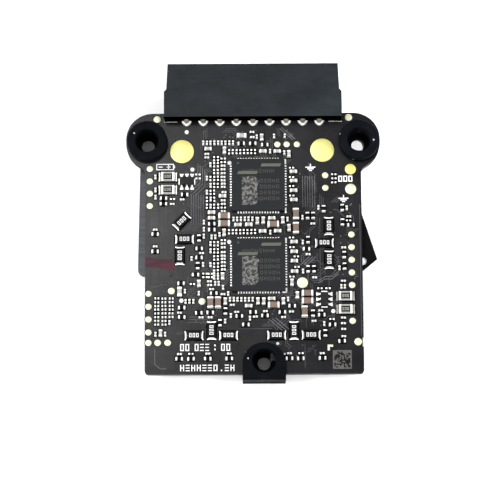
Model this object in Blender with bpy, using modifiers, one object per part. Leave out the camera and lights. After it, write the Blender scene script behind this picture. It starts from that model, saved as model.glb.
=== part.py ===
"""Power and motor-control board of a small four-motor drone.

A circuit board with two round ears and a slotted lower edge hangs in three rubber grommets.
A nine-pin battery connector sits across its upper edge, two motor controllers and the current
shunts of four motors are soldered on top, and the power transistors are soldered underneath,
on a thermal pad and a heat-spreader plate that is covered by an insulating film.

Frame: +Z is the component side, +Y points out of the battery connector, z = 0 is the plane the
grommets stand on, and the origin is the centre of the footprint. Lengths are in millimetres
and are turned into metres as the meshes are made.
"""

import math

import bmesh
import bpy
from mathutils import Matrix, Vector

MM = 0.001

# Circuit board
BOARD_HALF_WIDTH = 16.2
BOARD_BOTTOM_Y = -22.65
BOARD_UNDER_Z = 1.9
BOARD_TOP_Z = 3.5
BOARD_CORNER_R = 0.5
EAR_R = 4.03
EAR_CENTRE_X = 15.07
EAR_LOWER_Y = 12.3
EAR_UPPER_Y = 12.87
EAR_FILLET_R = 1.2
SOLDER_GAP = 0.04

# Rubber grommets
GROMMET_X = 15.9
GROMMET_Y = 12.42
GROMMET_TOP_Z = 5.1
FLANGE_R = 3.03
LOWER_FLANGE_Z = 1.6
UPPER_FLANGE_Z = 3.8
NECK_R = 2.0
NECK_CLEARANCE = 0.3
BORE_R = 1.7
LIP_BORE_R = 1.15
LIP_LOWER_Z = 0.35
LIP_UPPER_Z = 1.1
LIP_SLOPE = 0.3
RUBBER_EDGE = 0.15
FRONT_GROMMET_X = 1.45
FRONT_GROMMET_Y = -20.85
FRONT_GROMMET_END_Y = -23.75
FRONT_FLANGE_R = 3.18
FRONT_FLANGE_OFFSET = 0.5
FRONT_WALL_Y = -23.0
FRONT_WALL_INSET = 0.05

# Battery connector
PIN_COUNT = 9
PIN_PITCH = 2.5
PIN_WIDTH = 0.6
PIN_THICKNESS = 0.5
PIN_LEVEL_Z = 4.6
PIN_TAIL_Y = 15.9
PIN_TIP_Y = 19.45
PIN_FOOT_Z = 1.2
PIN_HOLE_R = 0.5
PIN_SLOT_CLEARANCE = 0.1
PIN_TAPER = 0.15
HOUSING_REAR_Y = 15.62
HOUSING_STEP_Y = 19.85
HOUSING_MOUTH_Y = 23.75
HOUSING_REAR_HALF = 13.3
HOUSING_STEP_HALF = 12.93
HOUSING_MOUTH_HALF = 12.78
HOUSING_BOTTOM_Z = 0.1
HOUSING_BOARD_GAP = 0.05
HOUSING_TOP_Z = 6.7
HOUSING_BODY_Y = 17.3
CAVITY_FLOOR_Y = 17.9
CAVITY_HALF = 11.8
CAVITY_BOTTOM_Z = 0.95
CAVITY_TOP_Z = 5.85
SOLDER_ROOM_HALF = 11.4
SOLDER_ROOM_END_Y = 17.0
SOLDER_ROOM_TOP_Z = 4.1
PEG_X = 12.4
PEG_Y = 16.05
PEG_R = 0.45
PEG_CLEARANCE = 0.1
PEG_FOOT_Z = 2.3

# Chips and passives: length along the leads, width, height
CONTROLLER_SIZE = (8.0, 8.0, 0.85)
SHUNT_SIZE = (2.2, 1.35, 0.6)
SENSE_SIZE = (2.1, 1.3, 0.6)
CAPACITOR_SIZE = (1.7, 0.85, 0.8)
AMPLIFIER_SIZE = (2.0, 1.25, 0.8)
TRANSISTOR_SIZE = (3.3, 3.3, 0.8)

CONTROLLERS = {"upper": (0.74, 5.72, 0), "lower": (0.72, -6.42, 0)}
SHUNTS = {
    "left_1": (-10.72, 0.3, 45), "left_2": (-10.3, -2.45, 0), "left_3": (-11.0, -4.95, 90),
    "right_1": (11.25, -0.55, 90), "right_2": (10.55, -3.1, 0), "right_3": (11.25, -5.65, 90),
    "front_left_1": (-8.9, -16.95, 0), "front_left_2": (-6.3, -16.2, 90),
    "front_left_3": (-3.8, -16.95, 0), "front_right_1": (3.33, -16.95, 0),
    "front_right_2": (5.9, -16.27, 90), "front_right_3": (8.43, -16.95, 0),
}
SENSE_RESISTORS = {
    "left_1": (-12.8, 7.1, 0), "left_2": (-12.8, 5.1, 0),
    "right_1": (13.58, -11.15, 0), "right_2": (13.58, -13.12, 0),
}
CAPACITORS = {
    "1": (-4.38, 1.04, 0), "2": (-4.38, -0.11, 0), "3": (2.95, -0.25, 0), "4": (6.35, 1.3, 90),
    "5": (6.33, -0.83, 90), "6": (2.93, -12.45, 0), "7": (7.95, -10.71, 0),
    "8": (7.95, -11.86, 0), "9": (-6.47, -12.03, 90), "10": (-5.33, -12.03, 90),
}
AMPLIFIERS = {"left": (-9.95, 6.37, 0), "right": (10.45, -11.59, 90)}

# Underside: three transistors for each motor, two motors in each row
TRANSISTOR_ROWS_Y = (6.6, 2.5, -1.6, -5.7)
TRANSISTOR_COLUMNS_X = (-10.5, 0.0, 10.5)
TRANSISTOR_TOP_Z = 1.86
PAD_TOP_Z = 1.02
PAD_UNDER_Z = 0.8
PAD_MARGIN = 0.4
PLATE_TOP_Z = 0.76
PLATE_UNDER_Z = 0.26
PLATE_LEFT_X = -17.4
PLATE_LEFT_TOP_X = -17.1
PLATE_RIGHT_X = 15.0
PLATE_Y = (-7.55, 9.2)
PLATE_LOWER_R = 1.0
PLATE_UPPER_R = 0.3
FILM_TOP_Z = 0.21
FILM_UNDER_Z = 0.06
FILM_X = (-15.6, 14.9)
FILM_Y = (-7.4, 8.8)
FILM_CORNER_R = 0.8

# Film tab, folded about a crease that runs along Y
TAB_CREASE_X = 15.0
TAB_OUTLINE = [(15.0, -7.4), (15.7, -7.4), (18.6, -5.0), (15.0, 6.3)]
TAB_HOLE = (16.45, -5.3)
TAB_HOLE_R = 0.6

ROUND_STEPS = 32
HOLE_STEPS = 16
SMALL_HOLE_STEPS = 12
SMALL_EDGE = 0.06
OVERLAP = 0.3


# --- scene, materials and mesh helpers ---------------------------------------------------

def start_scene():
    """Empties the scene and returns the collections for the parts and for the cutters."""
    for old in list(bpy.data.objects):
        bpy.data.objects.remove(old)
    parts = bpy.data.collections.new("flight_controller_board")
    cutters = bpy.data.collections.new("cutters")
    for collection in (parts, cutters):
        bpy.context.scene.collection.children.link(collection)
    return parts, cutters


PARTS, CUTTERS = start_scene()


def material(name, colour, roughness, metallic=0.0):
    mat = bpy.data.materials.new(name)
    mat.use_nodes = True
    shader = mat.node_tree.nodes["Principled BSDF"]
    shader.inputs["Base Color"].default_value = (*colour, 1.0)
    shader.inputs["Roughness"].default_value = roughness
    shader.inputs["Metallic"].default_value = metallic
    return mat


MATERIALS = {
    "solder_mask": material("solder_mask", (0.055, 0.055, 0.058), 0.45),
    "connector_plastic": material("connector_plastic", (0.035, 0.042, 0.05), 0.5),
    "contact_metal": material("contact_metal", (0.83, 0.66, 0.33), 0.25, 1.0),
    "rubber": material("rubber", (0.018, 0.019, 0.024), 0.75),
    "mould_compound": material("mould_compound", (0.05, 0.055, 0.06), 0.55),
    "resistor_black": material("resistor_black", (0.03, 0.03, 0.03), 0.4),
    "resistor_white": material("resistor_white", (0.45, 0.45, 0.44), 0.5),
    "capacitor_brown": material("capacitor_brown", (0.42, 0.27, 0.19), 0.45),
    "spreader_metal": material("spreader_metal", (0.3, 0.34, 0.38), 0.45, 1.0),
    "thermal_pad": material("thermal_pad", (0.36, 0.45, 0.55), 0.8),
    "film": material("film", (0.012, 0.012, 0.014), 0.25),
}


def place(name, mesh, slot, location, turn=0.0, collection=PARTS):
    """Makes an object from a mesh, at a place in millimetres, turned about Z in degrees."""
    obj = bpy.data.objects.new(name, mesh)
    obj.location = Vector(location) * MM
    obj.rotation_euler = (0.0, 0.0, math.radians(turn))
    if slot:
        mesh.materials.append(MATERIALS[slot])
    collection.objects.link(obj)
    return obj


def cutter(name, mesh, location=(0, 0, 0)):
    obj = place(name, mesh, None, location, collection=CUTTERS)
    obj.hide_render = True
    obj.display_type = "WIRE"
    return obj


def combine(target, other, operation):
    boolean = target.modifiers.new(operation.lower(), "BOOLEAN")
    boolean.operation = operation
    boolean.solver = "EXACT"
    boolean.object = other


def bevel(obj, width):
    edge = obj.modifiers.new("edges", "BEVEL")
    edge.width = width * MM
    edge.segments = 1
    edge.limit_method = "ANGLE"


def box_mesh(name, low, high):
    """A box between two corners."""
    low, high = Vector(low) * MM, Vector(high) * MM
    bm = bmesh.new()
    shape = Matrix.Translation((low + high) / 2) @ Matrix.Diagonal((*(high - low), 1.0))
    bmesh.ops.create_cube(bm, size=1.0, matrix=shape)
    mesh = bpy.data.meshes.new(name)
    bm.to_mesh(mesh)
    bm.free()
    return mesh


def centred_box(name, size):
    """A box standing on its own origin."""
    length, width, height = size
    return box_mesh(name, (-length / 2, -width / 2, 0), (length / 2, width / 2, height))


def cylinder_mesh(name, radius, low_z, high_z, steps=HOLE_STEPS):
    bm = bmesh.new()
    middle = Matrix.Translation((0, 0, (low_z + high_z) / 2 * MM))
    bmesh.ops.create_cone(bm, cap_ends=True, segments=steps, radius1=radius * MM,
                          radius2=radius * MM, depth=(high_z - low_z) * MM, matrix=middle)
    mesh = bpy.data.meshes.new(name)
    bm.to_mesh(mesh)
    bm.free()
    return mesh


def plate_mesh(name, loops, low_z, high_z):
    """A flat plate between two levels; the first loop is its outline, the rest are holes."""
    curve = bpy.data.curves.new(name + "_outline", "CURVE")
    curve.dimensions = "2D"
    curve.fill_mode = "BOTH"
    curve.extrude = (high_z - low_z) / 2 * MM
    for loop in loops:
        spline = curve.splines.new("POLY")
        spline.points.add(len(loop) - 1)
        for point, (x, y) in zip(spline.points, loop):
            point.co = (x * MM, y * MM, 0.0, 1.0)
        spline.use_cyclic_u = True
    holder = bpy.data.objects.new(name + "_outline", curve)
    CUTTERS.objects.link(holder)
    graph = bpy.context.evaluated_depsgraph_get()
    mesh = bpy.data.meshes.new_from_object(holder.evaluated_get(graph), depsgraph=graph)
    bpy.data.objects.remove(holder)
    bm = bmesh.new()
    bm.from_mesh(mesh)
    bmesh.ops.translate(bm, verts=bm.verts, vec=(0, 0, (high_z + low_z) / 2 * MM))
    bmesh.ops.remove_doubles(bm, verts=bm.verts, dist=1e-6)
    bmesh.ops.recalc_face_normals(bm, faces=bm.faces)
    bm.to_mesh(mesh)
    bm.free()
    mesh.name = name
    return mesh


def turned(name, profile, slot, location):
    """A ring turned about its own Z from a closed profile of (radius, z) points."""
    mesh = bpy.data.meshes.new(name)
    points = [(radius * MM, 0.0, z * MM) for radius, z in profile]
    edges = [(i, (i + 1) % len(points)) for i in range(len(points))]
    mesh.from_pydata(points, edges, [])
    obj = place(name, mesh, slot, location)
    screw = obj.modifiers.new("turn", "SCREW")
    screw.steps = ROUND_STEPS
    screw.render_steps = ROUND_STEPS
    screw.use_merge_vertices = True
    screw.merge_threshold = 1e-6
    return obj


def arc(x, y, radius, start, end, steps):
    """Points on an arc, from one angle in degrees to another, both ends included."""
    angles = [math.radians(start + (end - start) * i / steps) for i in range(steps + 1)]
    return [(x + radius * math.cos(a), y + radius * math.sin(a)) for a in angles]


def circle(x, y, radius, steps=HOLE_STEPS):
    return arc(x, y, radius, 0, 360, steps)[:-1]


def rounded_box(x_range, y_range, lower_r, upper_r, left_top=None, steps=4):
    """A rectangle with rounded corners; its left side may lean to another x at the top."""
    (left, right), (low, high) = x_range, y_range
    left_top = left if left_top is None else left_top
    points = arc(left + lower_r, low + lower_r, lower_r, 180, 270, steps)
    points += arc(right - lower_r, low + lower_r, lower_r, 270, 360, steps)
    points += arc(right - upper_r, high - upper_r, upper_r, 0, 90, steps)
    points += arc(left_top + upper_r, high - upper_r, upper_r, 90, 180, steps)
    return points


def mirrored(points):
    """The same outline on the other side of x = 0, run the other way."""
    return [(-x, y) for x, y in reversed(points)]


# --- circuit board -----------------------------------------------------------------------

def ear_outline():
    """Right edge of the board: concave fillet, then the ear's flank and its round top."""
    fillet_x = BOARD_HALF_WIDTH + EAR_FILLET_R
    reach = EAR_R + EAR_FILLET_R
    fillet_y = EAR_LOWER_Y - math.sqrt(reach**2 - (fillet_x - EAR_CENTRE_X)**2)
    to_ear = math.degrees(math.atan2(EAR_LOWER_Y - fillet_y, EAR_CENTRE_X - fillet_x))
    points = arc(fillet_x, fillet_y, EAR_FILLET_R, 180, to_ear, 6)
    points += arc(EAR_CENTRE_X, EAR_LOWER_Y, EAR_R, to_ear - 180, 0, 10)[1:]
    points += arc(EAR_CENTRE_X, EAR_UPPER_Y, EAR_R, 0, 90, 12)
    return points


def board_outline():
    corner_x = BOARD_HALF_WIDTH - BOARD_CORNER_R
    corner_y = BOARD_BOTTOM_Y + BOARD_CORNER_R
    slot_r = NECK_R + NECK_CLEARANCE
    points = arc(-corner_x, corner_y, BOARD_CORNER_R, 180, 270, 3)
    points.append((FRONT_GROMMET_X - slot_r, BOARD_BOTTOM_Y))
    points += arc(FRONT_GROMMET_X, FRONT_GROMMET_Y, slot_r, 180, 0, 16)
    points.append((FRONT_GROMMET_X + slot_r, BOARD_BOTTOM_Y))
    points += arc(corner_x, corner_y, BOARD_CORNER_R, 270, 360, 3)
    right_edge = ear_outline()
    return points + right_edge + mirrored(right_edge)


def pin_positions_x():
    first = -(PIN_COUNT - 1) / 2 * PIN_PITCH
    return [first + i * PIN_PITCH for i in range(PIN_COUNT)]


def make_board():
    loops = [board_outline()]
    for side in (-1, 1):
        loops.append(circle(side * GROMMET_X, GROMMET_Y, NECK_R + NECK_CLEARANCE, ROUND_STEPS))
        loops.append(circle(side * PEG_X, PEG_Y, PEG_R + PEG_CLEARANCE, SMALL_HOLE_STEPS))
    loops += [circle(x, PIN_TAIL_Y, PIN_HOLE_R, SMALL_HOLE_STEPS) for x in pin_positions_x()]
    mesh = plate_mesh("circuit_board", loops, BOARD_UNDER_Z, BOARD_TOP_Z)
    place("circuit_board", mesh, "solder_mask", (0, 0, 0))


# --- rubber grommets ---------------------------------------------------------------------

def grommet_profile():
    """Two flanges, a neck between them, and a bore that narrows to a lip near its foot."""
    edge = RUBBER_EDGE
    outside = [
        (FLANGE_R - edge, GROMMET_TOP_Z), (FLANGE_R, GROMMET_TOP_Z - edge),
        (FLANGE_R, UPPER_FLANGE_Z), (NECK_R, UPPER_FLANGE_Z), (NECK_R, LOWER_FLANGE_Z),
        (FLANGE_R, LOWER_FLANGE_Z), (FLANGE_R, edge), (FLANGE_R - edge, 0.0),
    ]
    inside = [
        (LIP_BORE_R + LIP_SLOPE, 0.0), (LIP_BORE_R, LIP_LOWER_Z), (LIP_BORE_R, LIP_UPPER_Z),
        (BORE_R, LIP_UPPER_Z + LIP_SLOPE), (BORE_R, GROMMET_TOP_Z - edge),
        (BORE_R + edge, GROMMET_TOP_Z),
    ]
    return outside + inside


def make_round_grommets():
    for name, side in (("left", -1), ("right", 1)):
        location = (side * GROMMET_X, GROMMET_Y, 0)
        grommet = turned("rubber_grommet_" + name, grommet_profile(), "rubber", location)
        grommet.data.shade_smooth()


def tongue(radius, end_y, centre_y=0.0, steps=ROUND_STEPS // 2):
    """An outline with a round end and two straight sides down to a square end."""
    return arc(0, centre_y, radius, 0, 180, steps) + [(-radius, end_y), (radius, end_y)]


def make_front_grommet():
    """Two tongue-shaped flanges and a neck in the slot, closed by a wall off the board."""
    end_y = FRONT_GROMMET_END_Y - FRONT_GROMMET_Y
    wall_y = FRONT_WALL_Y - FRONT_GROMMET_Y
    location = (FRONT_GROMMET_X, FRONT_GROMMET_Y, 0)
    bore = circle(0, 0, BORE_R, 24)
    lip = circle(0, 0, LIP_BORE_R, 24)
    flange = tongue(FRONT_FLANGE_R, end_y, -FRONT_FLANGE_OFFSET)
    lower = plate_mesh("front_lower_flange", [flange, lip], 0, LOWER_FLANGE_Z)
    upper = plate_mesh("front_upper_flange", [flange, bore], UPPER_FLANGE_Z, GROMMET_TOP_Z)
    neck_end_y = end_y + 2 * FRONT_WALL_INSET
    neck = plate_mesh("front_neck", [tongue(NECK_R, neck_end_y), bore],
                      LOWER_FLANGE_Z - OVERLAP, UPPER_FLANGE_Z + OVERLAP)
    wall_half = FRONT_FLANGE_R - FRONT_WALL_INSET
    wall = box_mesh("front_wall", (-wall_half, end_y + FRONT_WALL_INSET, LOWER_FLANGE_Z - OVERLAP),
                    (wall_half, wall_y, UPPER_FLANGE_Z + OVERLAP))
    grommet = place("rubber_grommet_front", lower, "rubber", location)
    combine(grommet, cutter("front_upper_flange", upper, location), "UNION")
    combine(grommet, cutter("front_neck", neck, location), "UNION")
    combine(grommet, cutter("front_wall", wall, location), "UNION")
    grommet.data.shade_flat()


# --- battery connector -------------------------------------------------------------------

def housing_outline():
    """Plan of the housing: a wide rear and a nose that narrows a little to its mouth."""
    chamfer = HOUSING_REAR_HALF - HOUSING_STEP_HALF
    right = [
        (HOUSING_REAR_HALF, HOUSING_REAR_Y),
        (HOUSING_REAR_HALF, HOUSING_STEP_Y - chamfer),
        (HOUSING_STEP_HALF, HOUSING_STEP_Y),
        (HOUSING_MOUTH_HALF, HOUSING_MOUTH_Y),
    ]
    return right + mirrored(right)


def make_housing():
    upper = plate_mesh("battery_connector_housing", [housing_outline()],
                       BOARD_TOP_Z + HOUSING_BOARD_GAP, HOUSING_TOP_Z)
    lower_outline = [(x, max(y, HOUSING_BODY_Y)) for x, y in housing_outline()]
    lower = plate_mesh("housing_lower", [lower_outline], HOUSING_BOTTOM_Z, BOARD_TOP_Z + OVERLAP)
    housing = place("battery_connector_housing", upper, "connector_plastic", (0, 0, 0))
    combine(housing, cutter("housing_lower", lower), "UNION")
    for name, side in (("left", -1), ("right", 1)):
        peg = cylinder_mesh("peg_" + name, PEG_R, PEG_FOOT_Z, BOARD_TOP_Z + OVERLAP, SMALL_HOLE_STEPS)
        combine(housing, cutter("peg_" + name, peg, (side * PEG_X, PEG_Y, 0)), "UNION")
    cavity = box_mesh("cavity", (-CAVITY_HALF, CAVITY_FLOOR_Y, CAVITY_BOTTOM_Z),
                      (CAVITY_HALF, HOUSING_MOUTH_Y + OVERLAP, CAVITY_TOP_Z))
    combine(housing, cutter("cavity", cavity), "DIFFERENCE")
    room = box_mesh("solder_room", (-SOLDER_ROOM_HALF, HOUSING_REAR_Y - OVERLAP, BOARD_TOP_Z),
                    (SOLDER_ROOM_HALF, SOLDER_ROOM_END_Y, SOLDER_ROOM_TOP_Z))
    combine(housing, cutter("solder_room", room), "DIFFERENCE")
    slot_x = PIN_WIDTH / 2 + PIN_SLOT_CLEARANCE
    slot_z = PIN_LEVEL_Z + PIN_THICKNESS / 2 + PIN_SLOT_CLEARANCE
    for number, x in enumerate(pin_positions_x(), start=1):
        slot = box_mesh("pin_slot", (x - slot_x, HOUSING_REAR_Y - OVERLAP, SOLDER_ROOM_TOP_Z - OVERLAP),
                        (x + slot_x, CAVITY_FLOOR_Y + OVERLAP, slot_z))
        combine(housing, cutter(f"pin_slot_{number}", slot), "DIFFERENCE")


def make_pins():
    """Right-angle pins: a contact in the cavity and a tail down through the board."""
    low, high = PIN_LEVEL_Z - PIN_THICKNESS / 2, PIN_LEVEL_Z + PIN_THICKNESS / 2
    back, front = PIN_TAIL_Y - PIN_THICKNESS / 2, PIN_TAIL_Y + PIN_THICKNESS / 2
    across, along = PIN_TAPER, 2 * PIN_TAPER
    profile = [
        (back + across, PIN_FOOT_Z), (front - across, PIN_FOOT_Z), (front, PIN_FOOT_Z + along),
        (front, low), (PIN_TIP_Y - along, low), (PIN_TIP_Y, low + across),
        (PIN_TIP_Y, high - across), (PIN_TIP_Y - along, high), (back + across, high),
        (back, high - across), (back, PIN_FOOT_Z + along),
    ]
    mesh = plate_mesh("battery_pin", [profile], -PIN_WIDTH / 2, PIN_WIDTH / 2)
    mesh.materials.append(MATERIALS["contact_metal"])
    for number, x in enumerate(pin_positions_x(), start=1):
        pin = place(f"battery_pin_{number}", mesh, None, (x, 0, 0))
        pin.rotation_euler = (math.radians(90), 0.0, math.radians(90))


# --- soldered parts ----------------------------------------------------------------------

def make_group(prefix, size, slot, places, base_z):
    """Copies of one soldered part; each place is x, y and the turn of its long side."""
    mesh = centred_box(prefix, size)
    mesh.materials.append(MATERIALS[slot])
    for name, (x, y, turn) in places.items():
        part = place(f"{prefix}_{name}", mesh, None, (x, y, base_z), turn)
        bevel(part, SMALL_EDGE)


def make_soldered_parts():
    top = BOARD_TOP_Z + SOLDER_GAP
    make_group("motor_controller", CONTROLLER_SIZE, "mould_compound", CONTROLLERS, top)
    make_group("motor_shunt", SHUNT_SIZE, "resistor_black", SHUNTS, top)
    make_group("sense_resistor", SENSE_SIZE, "resistor_white", SENSE_RESISTORS, top)
    make_group("ceramic_capacitor", CAPACITOR_SIZE, "capacitor_brown", CAPACITORS, top)
    make_group("current_amplifier", AMPLIFIER_SIZE, "mould_compound", AMPLIFIERS, top)
    transistors = {}
    for row, y in enumerate(TRANSISTOR_ROWS_Y, start=1):
        for phase, x in zip("abc", TRANSISTOR_COLUMNS_X):
            transistors[f"{row}{phase}"] = (x, y, 0)
    base = TRANSISTOR_TOP_Z - TRANSISTOR_SIZE[2]
    make_group("power_transistor", TRANSISTOR_SIZE, "mould_compound", transistors, base)


# --- heat spreader and film --------------------------------------------------------------

def make_heat_stack():
    spreader = rounded_box((PLATE_LEFT_X, PLATE_RIGHT_X), PLATE_Y, PLATE_LOWER_R, PLATE_UPPER_R,
                           left_top=PLATE_LEFT_TOP_X)
    mesh = plate_mesh("heat_spreader_plate", [spreader], PLATE_UNDER_Z, PLATE_TOP_Z)
    place("heat_spreader_plate", mesh, "spreader_metal", (0, 0, 0))
    margin = TRANSISTOR_SIZE[0] / 2 + PAD_MARGIN
    pad = box_mesh(
        "thermal_pad",
        (TRANSISTOR_COLUMNS_X[0] - margin, TRANSISTOR_ROWS_Y[-1] - margin, PAD_UNDER_Z),
        (TRANSISTOR_COLUMNS_X[-1] + margin, TRANSISTOR_ROWS_Y[0] + margin, PAD_TOP_Z),
    )
    place("thermal_pad", pad, "thermal_pad", (0, 0, 0))
    outline = rounded_box(FILM_X, FILM_Y, FILM_CORNER_R, FILM_CORNER_R)
    film = plate_mesh("insulation_film", [outline], FILM_UNDER_Z, FILM_TOP_Z)
    place("insulation_film", film, "film", (0, 0, 0))


def make_film_tab():
    """The tab's origin is on its crease, at the middle of the film's thickness."""
    crease_z = (FILM_TOP_Z + FILM_UNDER_Z) / 2
    half = (FILM_TOP_Z - FILM_UNDER_Z) / 2
    outline = [(x - TAB_CREASE_X, y) for x, y in TAB_OUTLINE]
    hole = circle(TAB_HOLE[0] - TAB_CREASE_X, TAB_HOLE[1], TAB_HOLE_R)
    mesh = plate_mesh("film_tab", [outline, hole], -half, half)
    place("film_tab", mesh, "film", (TAB_CREASE_X, 0, crease_z))


make_board()
make_round_grommets()
make_front_grommet()
make_housing()
make_pins()
make_soldered_parts()
make_heat_stack()
make_film_tab()
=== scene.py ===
"""Looks of a small drone's power and motor-control board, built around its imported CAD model.

The layout of the small parts is written in millimetres on the board's drawing: x from the
board's centre line, and y from a line DRAWING_TO_EDGE above the board's lower edge. `spot`
turns a place on the drawing into one in the CAD model's frame, still in millimetres.
"""

import math
import random

import bmesh
import bpy
from mathutils import Matrix, Vector
from mathutils.geometry import delaunay_2d_cdt


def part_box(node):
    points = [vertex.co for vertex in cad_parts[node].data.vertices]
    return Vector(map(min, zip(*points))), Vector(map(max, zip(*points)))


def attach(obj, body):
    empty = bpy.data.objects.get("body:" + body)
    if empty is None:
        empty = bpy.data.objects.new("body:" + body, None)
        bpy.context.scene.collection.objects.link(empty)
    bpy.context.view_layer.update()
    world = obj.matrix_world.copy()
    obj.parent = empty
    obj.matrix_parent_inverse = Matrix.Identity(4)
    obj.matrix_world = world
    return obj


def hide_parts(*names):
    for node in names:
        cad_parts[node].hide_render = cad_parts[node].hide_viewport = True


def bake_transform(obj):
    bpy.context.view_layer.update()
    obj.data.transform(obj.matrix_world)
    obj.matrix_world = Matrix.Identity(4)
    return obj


MM = 0.001
DRAWING_TO_EDGE = 22.4
HALF_WIDTH = 16.2

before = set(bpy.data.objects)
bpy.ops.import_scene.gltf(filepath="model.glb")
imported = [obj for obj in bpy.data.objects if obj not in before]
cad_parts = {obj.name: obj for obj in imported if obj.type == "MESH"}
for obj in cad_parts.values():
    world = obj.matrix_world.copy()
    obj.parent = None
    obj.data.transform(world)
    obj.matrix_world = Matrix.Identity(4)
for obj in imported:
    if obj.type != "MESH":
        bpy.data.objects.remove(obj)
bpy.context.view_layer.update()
board_low, board_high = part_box("circuit_board")
TOP = board_high.z / MM
UNDER = board_low.z / MM
EDGE_Y = board_low.y / MM
rng = random.Random(7)


def spot(x, y):
    """A place on the drawing, in millimetres of the CAD model's frame."""
    return x, y + EDGE_Y + DRAWING_TO_EDGE


def box_mm(node):
    """The lowest and the highest corner of a CAD node, in millimetres."""
    low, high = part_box(node)
    return low / MM, high / MM


# --- shapes ------------------------------------------------------------------------------

class Shape:
    """Points in millimetres, and faces with a material number each."""

    def __init__(self):
        self.points, self.faces, self.slots = [], [], []

    def add(self, points, faces, slots):
        base = len(self.points)
        self.points += [Vector(p) for p in points]
        self.faces += [[base + i for i in face] for face in faces]
        self.slots += slots
        return self

    def stamp(self, other, x=0.0, y=0.0, z=0.0, turn=0.0):
        """Adds a copy of another shape, turned about Z by an angle in degrees and moved."""
        matrix = Matrix.Translation((x, y, z)) @ Matrix.Rotation(math.radians(turn), 4, "Z")
        return self.add([matrix @ p for p in other.points], other.faces, other.slots)

    def both_ends(self, end):
        """Adds a shape as it is, and once more turned round to the other end."""
        return self.stamp(end).stamp(end, turn=180)

    def loft(self, rings, slot=0, caps=True):
        """Joins rings with the same number of points, each to the next, and closes the ends."""
        count = len(rings[0])
        points = [p for ring in rings for p in ring]
        faces = []
        for low in range(0, len(points) - count, count):
            high = low + count
            for i in range(count):
                j = (i + 1) % count
                faces.append([low + i, low + j, high + j, high + i])
        if caps:
            faces.append(list(range(count))[::-1])
            faces.append([len(points) - count + i for i in range(count)])
        return self.add(points, faces, [slot] * len(faces))

    def prism(self, outline, low, high, slot=0, edge=0.0):
        """A flat outline between two levels; `edge` bevels its upper edge."""
        rings = [[(x, y, low) for x, y in outline], [(x, y, high - edge) for x, y in outline]]
        if edge:
            rings.append([(x, y, high) for x, y in inset(outline, edge)])
        return self.loft(rings, slot)

    def block(self, low, high, slot=0, edge=0.0):
        """An upright box between two corners; `edge` bevels its upper edge and its corners."""
        (x0, y0, z0), (x1, y1, z1) = low, high
        return self.prism(cut_box(x0, y0, x1, y1, edge), z0, z1, slot, edge)

    def lathe(self, profile, steps):
        """Turns a closed line of (radius, z) points about Z into a ring."""
        rings = []
        for i in range(steps + 1):
            angle = 2 * math.pi * i / steps
            rings.append([(r * math.cos(angle), r * math.sin(angle), z) for r, z in profile])
        return self.loft(rings, caps=False)

    def stroke(self, path, width, low, high):
        """A ribbon along a line of points, mitred where it turns."""
        left, right = [], []
        for i, point in enumerate(path):
            before = Vector(path[max(i - 1, 0)])
            after = Vector(path[min(i + 1, len(path) - 1)])
            here = Vector(point)
            first = (here - before).normalized() if i else (after - here).normalized()
            last = (after - here).normalized() if i < len(path) - 1 else first
            across = Vector((-(first + last).y, (first + last).x)).normalized()
            spread = width / 2 / max(across.dot(Vector((-first.y, first.x))), 0.5)
            left.append(here + across * spread)
            right.append(here - across * spread)
        for corners in zip(left, left[1:], right[1:], right):
            self.loft([[(*p, low) for p in corners], [(*p, high) for p in corners]])
        return self


class Marks:
    """Flat marks of one material, between two levels of a shape."""

    def __init__(self, shape, low, high, slot=0):
        self.shape, self.low, self.high, self.slot = shape, low, high, slot

    def bar(self, x, y, width, height):
        half_w, half_h = width / 2, height / 2
        self.shape.block((x - half_w, y - half_h, self.low), (x + half_w, y + half_h, self.high), self.slot)

    def outline(self, x, y, width, height, line):
        """A rectangle drawn with four bars."""
        for side in (-1, 1):
            self.bar(x + side * (width - line) / 2, y, line, height)
            self.bar(x, y + side * (height - line) / 2, width - 2 * line, line)

    def glyphs(self, x, y, count, pitch, height, line, seed):
        """A row of plain blocks and bars that stands where a line of small print would be."""
        pick = random.Random(seed)
        width = pitch * 0.72
        for i in range(count):
            middle = x + i * pitch + width / 2
            kind = pick.choice(("box", "bars", "steps"))
            if kind == "box":
                self.outline(middle, y, width, height, line)
            elif kind == "bars":
                for side in (-1, 1):
                    self.bar(middle + side * (width - line) / 2, y, line, height)
                self.bar(middle, y, width - 2 * line, line)
            else:
                for step in (-1, 0, 1):
                    self.bar(middle, y + step * (height - line) / 2, width, line)


def arc(x, y, radius, start, end, steps):
    """Points along an arc between two angles in degrees."""
    angles = [math.radians(start + (end - start) * i / steps) for i in range(steps + 1)]
    return [(x + radius * math.cos(a), y + radius * math.sin(a)) for a in angles]


def circle(x, y, radius, steps=24):
    return arc(x, y, radius, 0, 360, steps)[:-1]


def cut_box(x0, y0, x1, y1, cut):
    """A rectangle whose corners are cut off, or a plain one when cut is 0."""
    if not cut:
        return [(x0, y0), (x1, y0), (x1, y1), (x0, y1)]
    return [(x0 + cut, y0), (x1 - cut, y0), (x1, y0 + cut), (x1, y1 - cut),
            (x1 - cut, y1), (x0 + cut, y1), (x0, y1 - cut), (x0, y0 + cut)]


def rounded_box(half_x, half_y, radius, steps):
    """A rectangle about the origin with rounded corners."""
    x, y = half_x - radius, half_y - radius
    corners = ((-x, -y, 180), (x, -y, 270), (x, y, 0), (-x, y, 90))
    return [p for cx, cy, start in corners for p in arc(cx, cy, radius, start, start + 90, steps)]


def inset(outline, distance):
    """The outline moved inwards; its points run counterclockwise."""
    moved = []
    for i, point in enumerate(outline):
        here = Vector(point)
        first = (here - Vector(outline[i - 1])).normalized()
        last = (Vector(outline[(i + 1) % len(outline)]) - here).normalized()
        inward = Vector((-(first + last).y, (first + last).x)).normalized()
        spread = distance / max(inward.dot(Vector((-first.y, first.x))), 0.3)
        moved.append(tuple(here + inward * spread))
    return moved


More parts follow.
